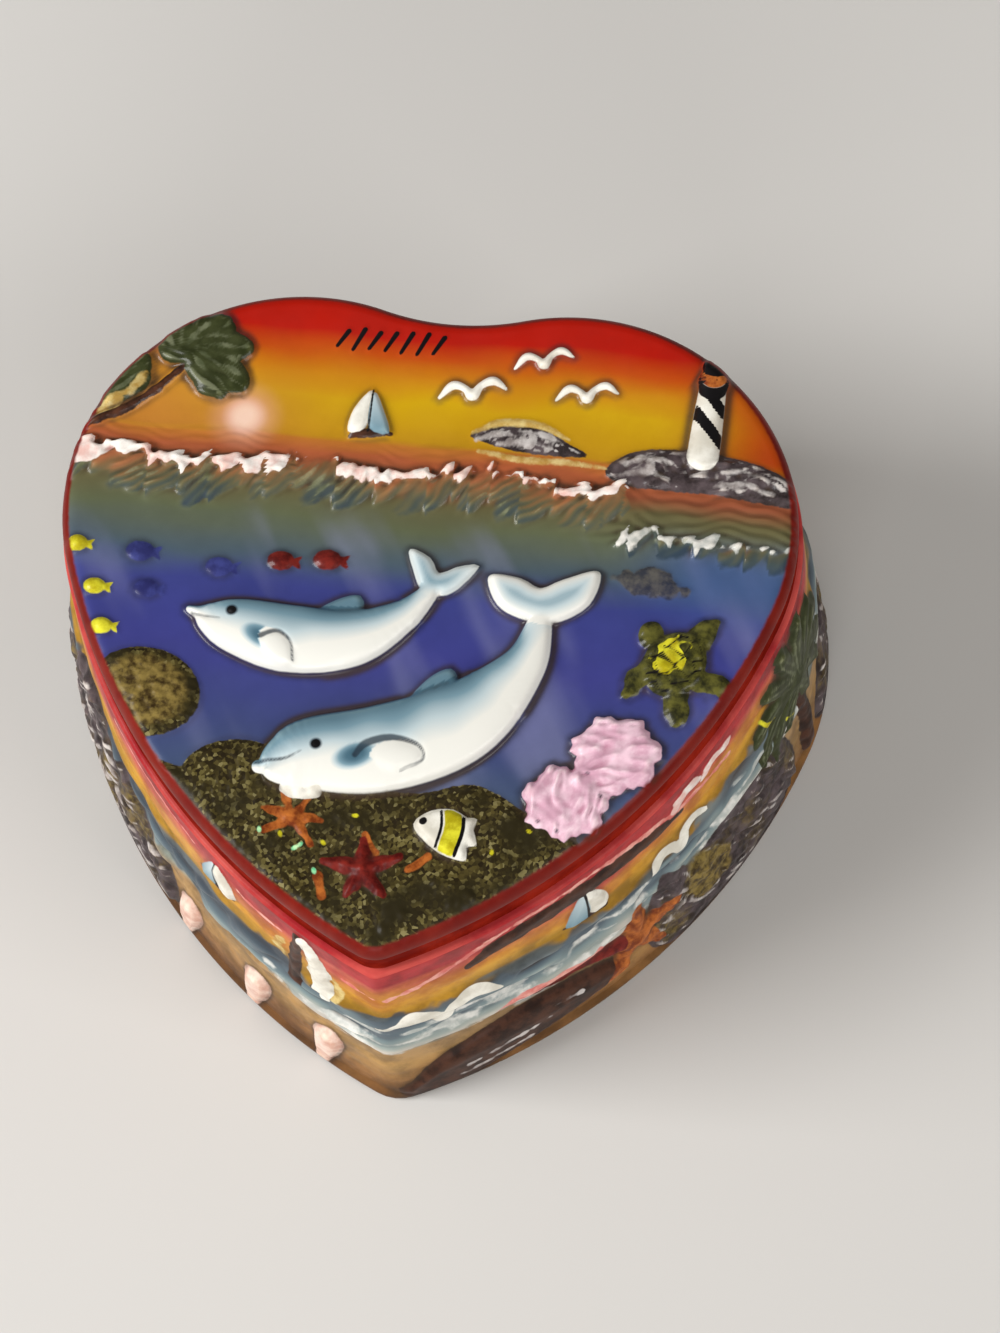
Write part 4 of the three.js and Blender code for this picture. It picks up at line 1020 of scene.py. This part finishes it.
def make_lid(sizes, colours):
    """The lid: its picture over the top and its rounded edge, the side, and the step under it."""
    scale = sizes.seam_width / MM / DRAWN_WIDTH
    seam = LID_BOX[0].z / MM + sizes.step_depth / MM
    top = seam + sizes.lid_thickness / MM
    ledge, edge = sizes.rim_ledge / MM, sizes.lid_edge / MM
    heart = Heart(scale, LID_TIP_RADIUS * scale)
    cells = sizes.lid_cells
    a, b = np.meshgrid(np.linspace(-1, 1, cells + 1), np.linspace(-1, 1, cells + 1))
    wide = np.abs(a) > np.abs(b)
    radius = np.where(wide, a, b)
    turn = np.where(wide, math.pi / 4 * b / np.where(a == 0, 1, a),
                    math.pi / 2 - math.pi / 4 * a / np.where(b == 0, 1, b))
    turn = turn + math.pi * (radius < 0) + math.pi / 2
    flat = 1 - 2 * EDGE_CELLS / cells
    bend = np.clip((np.abs(radius) - flat) / (1 - flat), 0, 1) * math.pi / 2
    inner = np.minimum(np.abs(radius) / flat, 1)
    edge_x, edge_y = heart.outline(signed_share(turn), -ledge - edge * (1 - np.sin(bend)))
    x = (inner * edge_x).ravel()
    y = (MIDDLE_Y + inner * (edge_y - MIDDLE_Y)).ravel()
    bend = bend.ravel()
    sheet = Sheet(x / scale, y / scale, np.stack([x, y, 0 * x], axis=1), upward=1)
    lid_picture(sheet, sizes.lid_relief / MM)
    sheet.paint("rim", np.arange(len(x)), (RIM_PAINT_FROM - bend) * edge)
    base = top - edge * (1 - np.cos(bend))
    height = np.clip(sheet.height, 0, LID_BOX[1].z / MM - top - SPARE) * np.clip(np.cos(bend), 0, 1)
    grid = blurred(height.reshape(cells + 1, cells + 1), 1, False)
    # How far each point lies below its neighbours: the materials turn it into painted shade in hollows and a
    # painted highlight on high spots
    hollow = blurred(grid, 8, False) - grid
    level = sheet.y + 0.8 * (grain(sheet.spots * [0.35, 1.6, 1], 2.6, 2) - 0.5)
    level = level + 0.9 * (grain(sheet.spots, 6, 9) - 0.5)

    piece = Piece()
    index = piece.add(x, y, base + grid.ravel()).reshape(cells + 1, cells + 1)
    corners = [index[:-1, :-1], index[:-1, 1:], index[1:, 1:], index[1:, :-1]]
    piece.quads(np.stack(corners, axis=-1).reshape(-1, 4), PICTURE)
    share = signed_share(border(turn))
    mouth = Heart(scale, (sizes.wall + sizes.mouth_tip) / MM)
    inset = (sizes.wall + sizes.step_clearance) / MM
    bottom = LID_BOX[0].z / MM
    last = piece.tube(border(index), share, [
        (heart, -ledge, seam + BREAK, SIDE), (heart, -ledge - BREAK_MIDDLE, seam + BREAK_MIDDLE, SIDE),
        (heart, -ledge - BREAK, seam, SIDE), (mouth, -inset + STEP_BREAK, seam, BARE),
        (mouth, -inset, seam - STEP_BREAK, BARE), (mouth, -inset, bottom + BREAK, BARE),
        (mouth, -inset - BREAK, bottom, BARE)], -1)
    piece.cap(last[::-1], BARE)
    materials = [lid_paint(colours), edge_paint(colours), bare_cast(colours)]
    piece.finish("lid_cast", materials, sheet, level, hollow, "lid", "painted_lid")


def make_base(sizes, colours):
    """The hollow base: its picture wrapped round the wall, the rim and the plain inside."""
    scale = sizes.seam_width / MM / DRAWN_WIDTH
    high = BASE_BOX[1].z / MM
    flare, wall = sizes.foot_flare / MM, sizes.wall / MM
    heart = Heart(scale, TIP_RADIUS * scale)
    mouth = Heart(scale, (sizes.wall + sizes.mouth_tip) / MM)
    count, rows = sizes.wall_columns, sizes.wall_rows
    share = signed_share(np.arange(count) / count * 2 * math.pi)
    share_grid, z_grid = np.meshgrid(share, np.linspace(FOOT_EDGE, high - BREAK, rows))
    rest = FLARE_SHARE * flare * np.clip(1 - z_grid / high, 0, 1) ** FLARE_CURVE
    flat_x, flat_y = heart.outline(share_grid, rest)
    spots = np.stack([flat_x.ravel(), flat_y.ravel(), z_grid.ravel()], axis=1)
    drawn_x, drawn_y = share_grid * DRAWN_HALF_ROUND, z_grid * DRAWN_WALL / high
    sheet = Sheet(drawn_x.ravel(), drawn_y.ravel(), spots, upward=2, skirt=0.3)
    wall_picture(sheet, sizes.wall_relief / MM)
    height = blurred(sheet.height.reshape(rows, count), 1, True)
    band = flare * blend_between(BAND_TOP, BAND_FULL, z_grid)
    fade = blend_between(high - BREAK, high - 1 - BREAK, z_grid)
    offset = np.minimum(np.maximum(rest + height * fade, band), flare - SPARE)
    # How far each point lies below its neighbours: the materials turn it into painted shade in hollows and a
    # painted highlight on high spots
    hollow = blurred(height, 6, True) - height
    drift = 2.2 * blend_between(2, -12, sheet.x) - 1.0 * blend_between(30, 60, sheet.x)
    drift = drift * blend_between(FRONT_END, FRONT_FULL, np.abs(sheet.x))
    level = sheet.y - drift * blend_between(24, 12, sheet.y)
    level = level + 2.4 * (grain(spots * [0.5, 0.5, 1.8], 2.4, 8) - 0.5) + 2.0 * (grain(spots, 7, 14) - 0.5)

    piece = Piece()
    wall_x, wall_y = heart.outline(share_grid, offset)
    index = piece.add(wall_x.ravel(), wall_y.ravel(), z_grid.ravel()).reshape(rows, count)
    for low, above in zip(index[:-1], index[1:]):
        piece.quads(ring_faces(low, above), PICTURE)
    floor = sizes.floor / MM
    inside = [(heart, -BREAK_MIDDLE, high - BREAK_MIDDLE, SIDE), (heart, -BREAK, high, SIDE),
              (mouth, -wall + BREAK, high, SIDE), (mouth, -wall + 0.1, high - BREAK_MIDDLE, SIDE)]
    inside += [(mouth, -wall, z, BARE) for z in np.linspace(high - 0.5, floor + FLOOR_ROUND, 6)]
    inside += [(mouth, -wall - FLOOR_ROUND * (1 - math.cos(t)), floor + FLOOR_ROUND * (1 - math.sin(t)), BARE)
               for t in np.linspace(0, math.pi / 2, 5)[1:]]
    piece.cap(piece.tube(index[-1], share, inside, 1), BARE)
    under = piece.add(*heart.outline(share, flare - FOOT_EDGE), 0.0)
    piece.quads(ring_faces(under, index[0]), PICTURE)
    piece.cap(under[::-1], BARE)
    materials = [wall_paint(colours), rim_paint(colours), bare_cast(colours)]
    piece.finish("base_cast", materials, sheet, level, hollow, "box_base", "painted_wall")


def linear(code):
    """A paint's colour from its six-digit code, for the shader."""
    parts = [int(code[i:i + 2], 16) / 255 for i in (0, 2, 4)]
    return tuple(p / 12.92 if p <= 0.04045 else ((p + 0.055) / 1.055) ** 2.4 for p in parts) + (1.0,)


class Tree:
    """Short calls for building a node tree from the box's paints."""

    def __init__(self, tree, colours=None):
        self.tree, self.colours = tree, colours

    def paint(self, word):
        """A colour by its code, or by its name among the box's colours."""
        return tuple(getattr(self.colours, word)) + (1,) if hasattr(self.colours, word) else linear(word)

    def node(self, kind, inputs=None, **settings):
        """A node with its settings, and its inputs set or linked."""
        made = self.tree.nodes.new(kind)
        for key, value in settings.items():
            setattr(made, key, value)
        for key, value in (inputs or {}).items():
            self.feed(made.inputs[key], value)
        return made

    def feed(self, socket, value):
        """Links an output to an input, or sets the input's value."""
        if isinstance(value, bpy.types.NodeSocket):
            self.tree.links.new(value, socket)
        else:
            socket.default_value = value

    def use(self, group, inputs):
        """The outputs of a shared group that is placed here with its own values."""
        made = self.node("ShaderNodeGroup", node_tree=group)
        for key, value in inputs.items():
            self.feed(made.inputs[key], value)
        return made.outputs

    def mix(self, factor, under, over, blend="MIX"):
        """One colour laid over another."""
        made = self.node("ShaderNodeMix", data_type="RGBA", blend_type=blend)
        for place, value in ((0, factor), (6, under), (7, over)):
            self.feed(made.inputs[place], value)
        return made.outputs[2]

    def value(self, name):
        """A value that is stored on the mesh."""
        return self.node("ShaderNodeAttribute", attribute_name=name).outputs["Fac"]

    def place(self):
        """The point on the object, in metres."""
        return self.node("ShaderNodeTexCoord").outputs["Object"]

    def noise(self, place, scale, detail, roughness=0.5):
        """Cloudy values from 0 to 1."""
        return self.node("ShaderNodeTexNoise", {"Vector": place, "Scale": scale, "Detail": detail,
                                                "Roughness": roughness}).outputs["Fac"]

    def math(self, operation, *values):
        """One sum of two values."""
        made = self.node("ShaderNodeMath", operation=operation)
        for socket, value in zip(made.inputs, values):
            self.feed(socket, value)
        return made.outputs[0]

    def times(self, first, *others):
        """All the values multiplied."""
        for value in others:
            first = self.math("MULTIPLY", first, value)
        return first

    def span(self, value, low, high, start=0.0, end=1.0, kind="SMOOTHSTEP"):
        """A value carried over from one span to another."""
        return self.node("ShaderNodeMapRange", {"Value": value, "From Min": low, "From Max": high,
                                                "To Min": start, "To Max": end},
                         interpolation_type=kind).outputs["Result"]

    def ramp(self, value, stops):
        """A colour that changes with a value from 0 to 1, from stops of [value, paint]."""
        made = self.node("ShaderNodeValToRGB", {"Fac": value})
        points = made.color_ramp.elements
        while len(points) < len(stops):
            points.new(1.0)
        for point, (place, word) in zip(points, stops):
            point.position = place
            point.color = self.paint(word)
        return made.outputs["Color"]

    def bands(self, value, low, high, stops):
        """A colour that changes with a value between two limits."""
        share = self.span(value, low, high, kind="LINEAR")
        return self.ramp(share, [((stop - low) / (high - low), word) for stop, word in stops])

    def mottled(self, dark, light, scale):
        """Two paints brushed unevenly into each other."""
        given = {"Dark": self.paint(dark), "Light": self.paint(light), "Scale": scale}
        return self.use(shared_group("Mottled paint"), given)["Color"]

    def patch(self, under, cover, strength, word):
        """A patch of paint over a colour, where a value says."""
        return self.mix(self.times(cover, strength), under, self.paint(word))


def build_mottle(tree, given, out):
    """Two colours of paint brushed unevenly into each other."""
    cloud = tree.noise(tree.place(), given["Scale"], 5, 0.6)
    tree.feed(out["Color"], tree.mix(tree.span(cloud, 0.34, 0.66), given["Dark"], given["Light"]))


def build_area(tree, given, out):
    """How fully a painted area covers, from its distance, with a brushed edge."""
    wobble = tree.math("SUBTRACT", tree.noise(tree.place(), 1400, 2), 0.5)
    moved = tree.math("ADD", given["Distance"], tree.times(wobble, given["Brushed"]))
    tree.feed(out["Cover"], tree.span(moved, given["Softness"], tree.times(given["Softness"], -1)))


def build_hollow_shade(tree, given, out):
    """Painted shade as dark paint in hollows, and a painted highlight as lighter paint on high spots."""
    # Painted shade deepens with the hollow, and the painted highlight grows on raised spots
    deep = tree.times(tree.span(given["Hollow"], 0.02, 0.26), given["Depth"])
    raised = tree.times(tree.span(given["Hollow"], -0.06, -0.3), given["Highlight"])
    shaded = tree.mix(deep, given["Color"], given["Shade wash"])
    # The painted highlight: high spots lightened in soft light
    tree.feed(out["Color"], tree.mix(raised, shaded, (0.95, 0.88, 0.8, 1), "SOFT_LIGHT"))


def build_gloss(tree, given, out):
    """The clear coat's uneven cover, the paint's roughness under it, and its brushed surface."""
    place = tree.place()
    cloud, fine = tree.noise(place, 180, 4), tree.noise(place, 2600, 3)
    tree.feed(out["Coat"], tree.span(cloud, 0.25, 0.6, given["Thin"], given["Full"]))
    tree.feed(out["Roughness"], tree.span(cloud, 0.3, 0.7, given["Smooth"], given["Rough"]))
    tree.feed(out["Surface"], tree.math("ADD", tree.times(fine, 0.35), cloud))


# The groups that the materials share: what builds each, its inputs with their defaults, and its outputs
GROUPS = {
    "Mottled paint": (build_mottle, {"Dark": (0, 0, 0, 1), "Light": (1, 1, 1, 1), "Scale": 400.0},
                      {"Color": "NodeSocketColor"}),
    "Painted area": (build_area, {"Distance": 1.0, "Softness": 0.07, "Brushed": 0.15},
                     {"Cover": "NodeSocketFloat"}),
    # Painted shade in hollows and a painted highlight on high spots, over the figures' paints
    "Shade wash in hollows": (build_hollow_shade, {"Color": (1, 1, 1, 1), "Hollow": 0.0, "Shade wash": (0.05, 0.03, 0.02, 1),
                                     "Depth": 0.8, "Highlight": 0.7}, {"Color": "NodeSocketColor"}),
    "Gloss coat": (build_gloss, {"Thin": 0.75, "Full": 1.0, "Smooth": 0.3, "Rough": 0.5},
                   {"Coat": "NodeSocketFloat", "Roughness": "NodeSocketFloat", "Surface": "NodeSocketFloat"}),
}


def shared_group(name):
    """A node group with named inputs and outputs, built once."""
    if name in bpy.data.node_groups:
        return bpy.data.node_groups[name]
    build, inputs, outputs = GROUPS[name]
    group = bpy.data.node_groups.new(name, "ShaderNodeTree")
    for label, default in inputs.items():
        kind = "NodeSocketFloat" if isinstance(default, float) else "NodeSocketColor"
        socket = group.interface.new_socket(name=label, in_out="INPUT", socket_type=kind)
        socket.default_value = default
    for label, kind in outputs.items():
        group.interface.new_socket(name=label, in_out="OUTPUT", socket_type=kind)
    source = group.nodes.new("NodeGroupInput")
    sink = group.nodes.new("NodeGroupOutput")
    build(Tree(group), source.outputs, sink.inputs)
    return group


def new_material(name, colours=None):
    """An empty material with its node tree."""
    material = bpy.data.materials.new(name)
    material.use_nodes = True
    material.node_tree.nodes.clear()
    return material, Tree(material.node_tree, colours)


def finish(tree, shader):
    """Links the shader to the material's output."""
    out = tree.node("ShaderNodeOutputMaterial")
    tree.feed(out.inputs["Surface"], shader.outputs["BSDF"])


def glossy(tree, colour, thin, full, coat_roughness=0.2, bump=0.05, smooth=0.34, rough=0.52, specular=0.25,
           matt=None):
    """Finishes a material as painted cast resin under a clear gloss coat, thinner on a matt area."""
    given = {"Thin": thin, "Full": full, "Smooth": smooth, "Rough": rough}
    gloss = tree.use(shared_group("Gloss coat"), given)
    relief = tree.node("ShaderNodeBump", {"Strength": bump, "Distance": 0.0002, "Height": gloss["Surface"]})
    coat = gloss["Coat"]
    if matt:
        coat = tree.times(coat, tree.span(matt, 0.2, -0.2, 1.0, 0.1))
    finish(tree, tree.node("ShaderNodeBsdfPrincipled", {
        "Base Color": colour, "Roughness": gloss["Roughness"], "Specular IOR Level": specular,
        "Coat Weight": coat, "Coat Roughness": coat_roughness, "Normal": relief.outputs["Normal"]}))


def gravel_paint(tree):
    """Dark brown grit with olive, gold and grey grains."""
    place = tree.place()
    grains = tree.node("ShaderNodeTexVoronoi", {"Vector": place, "Scale": 2700})
    pick = tree.node("ShaderNodeSeparateColor", {"Color": grains.outputs["Color"]}).outputs["Red"]
    cloud = tree.span(tree.noise(place, 260, 4), 0.4, 0.66)
    return tree.mix(cloud, tree.ramp(pick, GRAINS), linear("2a2412"))


def figure_paints(tree, colour, curls):
    """Paints the relief's figures over a background, in the painter's order, then painted shade in hollows
    and a painted highlight on high spots.
    """
    tone = tree.span(tree.value("tone"), -1, 1, kind="LINEAR")
    special = {"dolphin": tree.ramp(tone, SKIN), "curl": tree.ramp(tone, curls), "gravel": gravel_paint(tree)}
    hollow_shade = linear(HOLLOW_SHADE)
    for name, mix, softness, brushed, strength in FIGURE_PAINTS:
        given = {"Distance": tree.value(name), "Softness": softness, "Brushed": brushed}
        cover = tree.use(shared_group("Painted area"), given)["Cover"]
        if strength < 1:
            cover = tree.times(cover, strength)
        if name in special:
            paint = special[name]
        else:
            paint = tree.mottled(*mix) if len(mix) > 1 else tree.paint(*mix)
        colour = tree.mix(cover, colour, paint)
        # The painted shade in hollows turns warmer under the pink and the foam paints
        if name in WARM_HOLLOW_SHADES:
            hollow_shade = tree.mix(cover, hollow_shade, linear(WARM_HOLLOW_SHADES[name]))
    # Painted shade in the hollows and a painted highlight on high spots, laid over all the paints
    given = {"Color": colour, "Hollow": tree.value("hollow"), "Shade wash": hollow_shade}
    return tree.use(shared_group("Shade wash in hollows"), given)["Color"]


def lid_paint(colours):
    """The lid's picture: sky, glow and water behind the painted figures."""
    material, tree = new_material("Painted lid picture", colours)
    level, place = tree.value("level"), tree.place()
    east = tree.node("ShaderNodeSeparateXYZ", {"Vector": place}).outputs["X"]
    flat = tree.node("ShaderNodeVectorMath", {0: place, 1: (1, 1, 0)}, operation="MULTIPLY").outputs["Vector"]
    sun = tree.node("ShaderNodeVectorMath", {0: flat, 1: SUN}, operation="DISTANCE").outputs["Value"]
    slant = tree.node("ShaderNodeMapping", {"Vector": place, "Rotation": (0, 0, math.radians(32)),
                                            "Scale": (1, 4.5, 1)}, vector_type="TEXTURE").outputs["Vector"]

    # The warm sky to the west, the sun's glow and its middle, rays in the water, dusk and the lighter bay
    west = tree.times(tree.span(east, -0.006, -0.03), tree.span(level, 16, 12), tree.span(level, 6.5, 8))
    rays = tree.times(tree.span(tree.noise(slant, 150, 2), 0.5, 0.75), tree.span(level, 0.5, -4))
    dusk = tree.times(tree.span(east, 0.022, 0.0345), tree.span(level, 5, 9))
    bay = tree.times(tree.span(east, 0.018, 0.03), tree.span(level, -12, -5), tree.span(level, 1, -4))
    colour = tree.bands(level, LID_LOW, LID_HIGH, LID_BANDS)
    for cover, strength, word in ((west, 0.6, "c4743a"), (tree.span(sun, 0.0046, 0.001), 0.5, "eab89c"),
                                  (tree.span(sun, 0.0027, 0.0006), 0.75, "f6ddd0"), (rays, 0.36, "9a9cc0"),
                                  (dusk, 0.9, "b02c0c"), (bay, 0.7, "3c5a92")):
        colour = tree.patch(colour, cover, strength, word)
    colour = tree.mix(0.35, colour, tree.mottled("848484", "a4a4a4", 150), "OVERLAY")

    # The coat is thin on the gravel, on the breaking waves and on the red edge
    matt = tree.math("MINIMUM", tree.value("gravel"), tree.value("curl"))
    matt = tree.math("MINIMUM", matt, tree.math("SUBTRACT", tree.value("rim"), 0.8))
    glossy(tree, figure_paints(tree, colour, LID_CURLS), thin=0.3, full=0.62, specular=0.1, matt=matt)
    return material


def wall_paint(colours):
    """The wall's picture: sky, sea and sand behind the painted figures."""
    material, tree = new_material("Painted wall picture", colours)
    bands = tree.bands(tree.value("level"), WALL_LOW, WALL_HIGH, WALL_BANDS)
    colour = tree.mix(0.6, bands, tree.mottled("646464", "c0c0c0", 260), "OVERLAY")
    painted = figure_paints(tree, colour, WALL_CURLS)
    glossy(tree, painted, thin=0.0, full=0.1, bump=0.15, rough=0.6, specular=0.12)
    return material


def edge_paint(colours):
    """The lid's side: dark red, with little gloss low down."""
    material, tree = new_material("Dark red edge", colours)
    glossy(tree, tree.mottled("edge_red", "8e2214", 220), thin=0.0, full=0.04, specular=0.0)
    return material


def rim_paint(colours):
    """The base's rim: crimson paint with pale brushed patches."""
    material, tree = new_material("Pink rim", colours)
    glossy(tree, tree.mottled("a0242a", "rim_pink", 90), thin=0.0, full=0.08, specular=0.03)
    return material


def bare_cast(colours):
    """The plain inside and underside: pale cast resin under a thin coat, the same on both pieces."""
    if "Bare cast resin" in bpy.data.materials:
        return bpy.data.materials["Bare cast resin"]
    material, tree = new_material("Bare cast resin", colours)
    glossy(tree, tree.mottled("c9bfae", "bare", 120), 0.05, 0.2, coat_roughness=0.3, bump=0.15, smooth=0.5,
           rough=0.7)
    return material


def make_stage():
    """A pale floor, soft lights and the camera at the photograph's viewing angle."""
    mesh = bpy.data.meshes.new("studio_floor")
    corners = [(-1, -1), (1, -1), (1, 1), (-1, 1)]
    mesh.from_pydata([(x * FLOOR_REACH, y * FLOOR_REACH, 0) for x, y in corners], [], [(0, 1, 2, 3)])
    floor = bpy.data.objects.new("studio_floor", mesh)
    bpy.context.collection.objects.link(floor)
    material, tree = new_material("Pale floor")
    finish(tree, tree.node("ShaderNodeBsdfPrincipled", {"Base Color": FLOOR_COLOUR, "Roughness": 0.7}))
    mesh.materials.append(material)
    for name, place, size, power in LAMPS:
        lamp = bpy.data.lights.new(name, "AREA")
        lamp.energy, lamp.size = power, size
        holder = bpy.data.objects.new(name, lamp)
        holder.location = place
        holder.rotation_euler = (-Vector(place)).to_track_quat("-Z", "Y").to_euler()
        bpy.context.collection.objects.link(holder)
    world = bpy.data.worlds.new("Studio")
    world.use_nodes = True
    background = world.node_tree.nodes["Background"].inputs
    background["Color"].default_value = WORLD_COLOUR
    background["Strength"].default_value = WORLD_STRENGTH
    bpy.context.scene.world = world
    bpy.context.scene.view_settings.view_transform = "Standard"
    make_camera()


def make_camera():
    """Places the camera as the photograph was taken: steeply from above, from far with a long lens."""
    back = Vector((math.sin(AZIMUTH) * math.cos(ELEVATION), -math.cos(AZIMUTH) * math.cos(ELEVATION),
                   math.sin(ELEVATION)))
    right = Vector((math.cos(AZIMUTH), math.sin(AZIMUTH), 0))
    up = back.cross(right)
    across = math.cos(ROLL) * right + math.sin(ROLL) * up
    upward = -math.sin(ROLL) * right + math.cos(ROLL) * up
    place = -(across * AIM_X - upward * AIM_Y - back * DISTANCE) + Vector((0, -MIDDLE_Y, 0))
    camera = bpy.data.objects.new("camera", bpy.data.cameras.new("camera"))
    camera.data.sensor_width = SENSOR
    camera.data.lens = FOCAL_PIXELS / PICTURE_HEIGHT * SENSOR
    camera.data.clip_start, camera.data.clip_end = 0.01, 10.0
    turn = Matrix((across, upward, back)).transposed().to_4x4()
    camera.matrix_world = Matrix.Translation(place * MM) @ turn
    bpy.context.collection.objects.link(camera)
    bpy.context.scene.camera = camera


def length(name, description, default):
    """A size of the box, in metres."""
    return FloatProperty(name=name, description=description, default=default, min=0.0, max=0.2,
                         unit="LENGTH", subtype="DISTANCE", precision=4)


def count_of(name, description, default, low):
    """A number of points or squares."""
    return IntProperty(name=name, description=description, default=default, min=low)


def colour_of(name, description, code):
    """A colour of the box."""
    return FloatVectorProperty(name=name, description=description, default=linear(code)[:3], size=3,
                               min=0.0, max=1.0, subtype="COLOR")


RIM_LEDGE = 0.5 * MM


class BoxSizes(bpy.types.PropertyGroup):
    """Sizes of the trinket box."""
    seam_width: length("Seam width", "Width across the lobes at the seam",
                       LID_BOX[1].x - LID_BOX[0].x + 2 * RIM_LEDGE)
    rim_ledge: length("Rim ledge", "How far the base's rim shows past the lid", RIM_LEDGE)
    lid_thickness: length("Lid thickness", "From the seam to the lid's flat top", 4.7 * MM)
    lid_edge: length("Lid edge", "Rounding of the lid's upper edge", 1.6 * MM)
    step_depth: length("Step depth", "How far the step reaches into the mouth", 2 * MM)
    step_clearance: length("Step clearance", "Gap between the step and the wall", 0.4 * MM)
    wall: length("Wall", "Thickness of the wall at the rim", 4 * MM)
    floor: length("Floor", "Thickness of the floor", 4 * MM)
    mouth_tip: length("Mouth tip", "Rounding inside the tip", 3 * MM)
    foot_flare: length("Foot flare", "How far the foot stands out past the seam", 3.3 * MM)
    lid_relief: length("Lid relief", "Height of the boldest figure on the lid", 2.2 * MM)
    wall_relief: length("Wall relief", "Height of the boldest figure on the wall", 1.5 * MM)
    lid_cells: count_of("Lid cells", "Squares across the lid's sheet", 284, 32)
    wall_columns: count_of("Wall columns", "Points round the wall", 800, 64)
    wall_rows: count_of("Wall rows", "Points up the wall", 104, 8)


class BoxColours(bpy.types.PropertyGroup):
    """Main paints of the trinket box."""
    sky_high: colour_of("High sky", "Red at the top of the sky", "bb1a0a")
    sky_low: colour_of("Low sky", "Yellow above the horizon", "cfa60e")
    deep_water: colour_of("Deep water", "Blue round the dolphins", "3e4088")
    edge_red: colour_of("Edge", "The lid's side", "6a120a")
    rim_pink: colour_of("Rim", "Pale patches of the base's rim", "c9544c")
    wall_red: colour_of("Wall red", "Sky at the top of the wall", "ac2426")
    wall_gold: colour_of("Wall gold", "Low sky on the wall", "d0982a")
    dolphin_back: colour_of("Dolphin back", "Blue-grey of the backs", "456676")
    dolphin_belly: colour_of("Dolphin belly", "White of the bellies", "e8e6dd")
    leaf: colour_of("Leaves", "Dark green of the palms", "2a2f14")
    coral: colour_of("Coral", "Pink of the ruffled coral", "eac6d2")
    gravel: colour_of("Gravel", "Darkest grain of the sea floor", "241c0e")
    bare: colour_of("Bare resin", "The plain inside and underside", "e2dac8")


class MakeLid(bpy.types.Operator):
    """Make the lid with its underwater relief"""
    bl_idname = "trinket_box.make_lid"
    bl_label = "Make lid"

    def execute(self, context):
        make_lid(context.scene.trinket_box_sizes, context.scene.trinket_box_colours)
        return {"FINISHED"}


class MakeBase(bpy.types.Operator):
    """Make the hollow base with the relief round its wall"""
    bl_idname = "trinket_box.make_base"
    bl_label = "Make base"

    def execute(self, context):
        make_base(context.scene.trinket_box_sizes, context.scene.trinket_box_colours)
        return {"FINISHED"}


class MakeStage(bpy.types.Operator):
    """Make the floor, the lights and the camera"""
    bl_idname = "trinket_box.make_stage"
    bl_label = "Make stage"

    def execute(self, context):
        make_stage()
        return {"FINISHED"}


class BoxPanel(bpy.types.Panel):
    """Lists what makes the trinket box, with its sizes and paints"""
    bl_idname = "VIEW3D_PT_trinket_box"
    bl_label = "Trinket Box"
    bl_space_type = "VIEW_3D"
    bl_region_type = "UI"
    bl_category = "Trinket Box"

    def draw(self, context):
        for operator in OPERATORS:
            self.layout.operator(operator.bl_idname)
        for group in (context.scene.trinket_box_sizes, context.scene.trinket_box_colours):
            for name in group.__annotations__:
                self.layout.prop(group, name)


OPERATORS = (MakeStage, MakeBase, MakeLid)
CLASSES = (BoxSizes, BoxColours, *OPERATORS, BoxPanel)


def register():
    """Adds the classes and the box's sizes and colours."""
    for cls in CLASSES:
        bpy.utils.register_class(cls)
    bpy.types.Scene.trinket_box_sizes = PointerProperty(type=BoxSizes)
    bpy.types.Scene.trinket_box_colours = PointerProperty(type=BoxColours)


def unregister():
    """Takes them away again."""
    del bpy.types.Scene.trinket_box_sizes
    del bpy.types.Scene.trinket_box_colours
    for cls in reversed(CLASSES):
        bpy.utils.unregister_class(cls)


def main():
    register()
    bpy.ops.trinket_box.make_stage()
    bpy.ops.trinket_box.make_base()
    bpy.ops.trinket_box.make_lid()


if __name__ == "__main__":
    main()
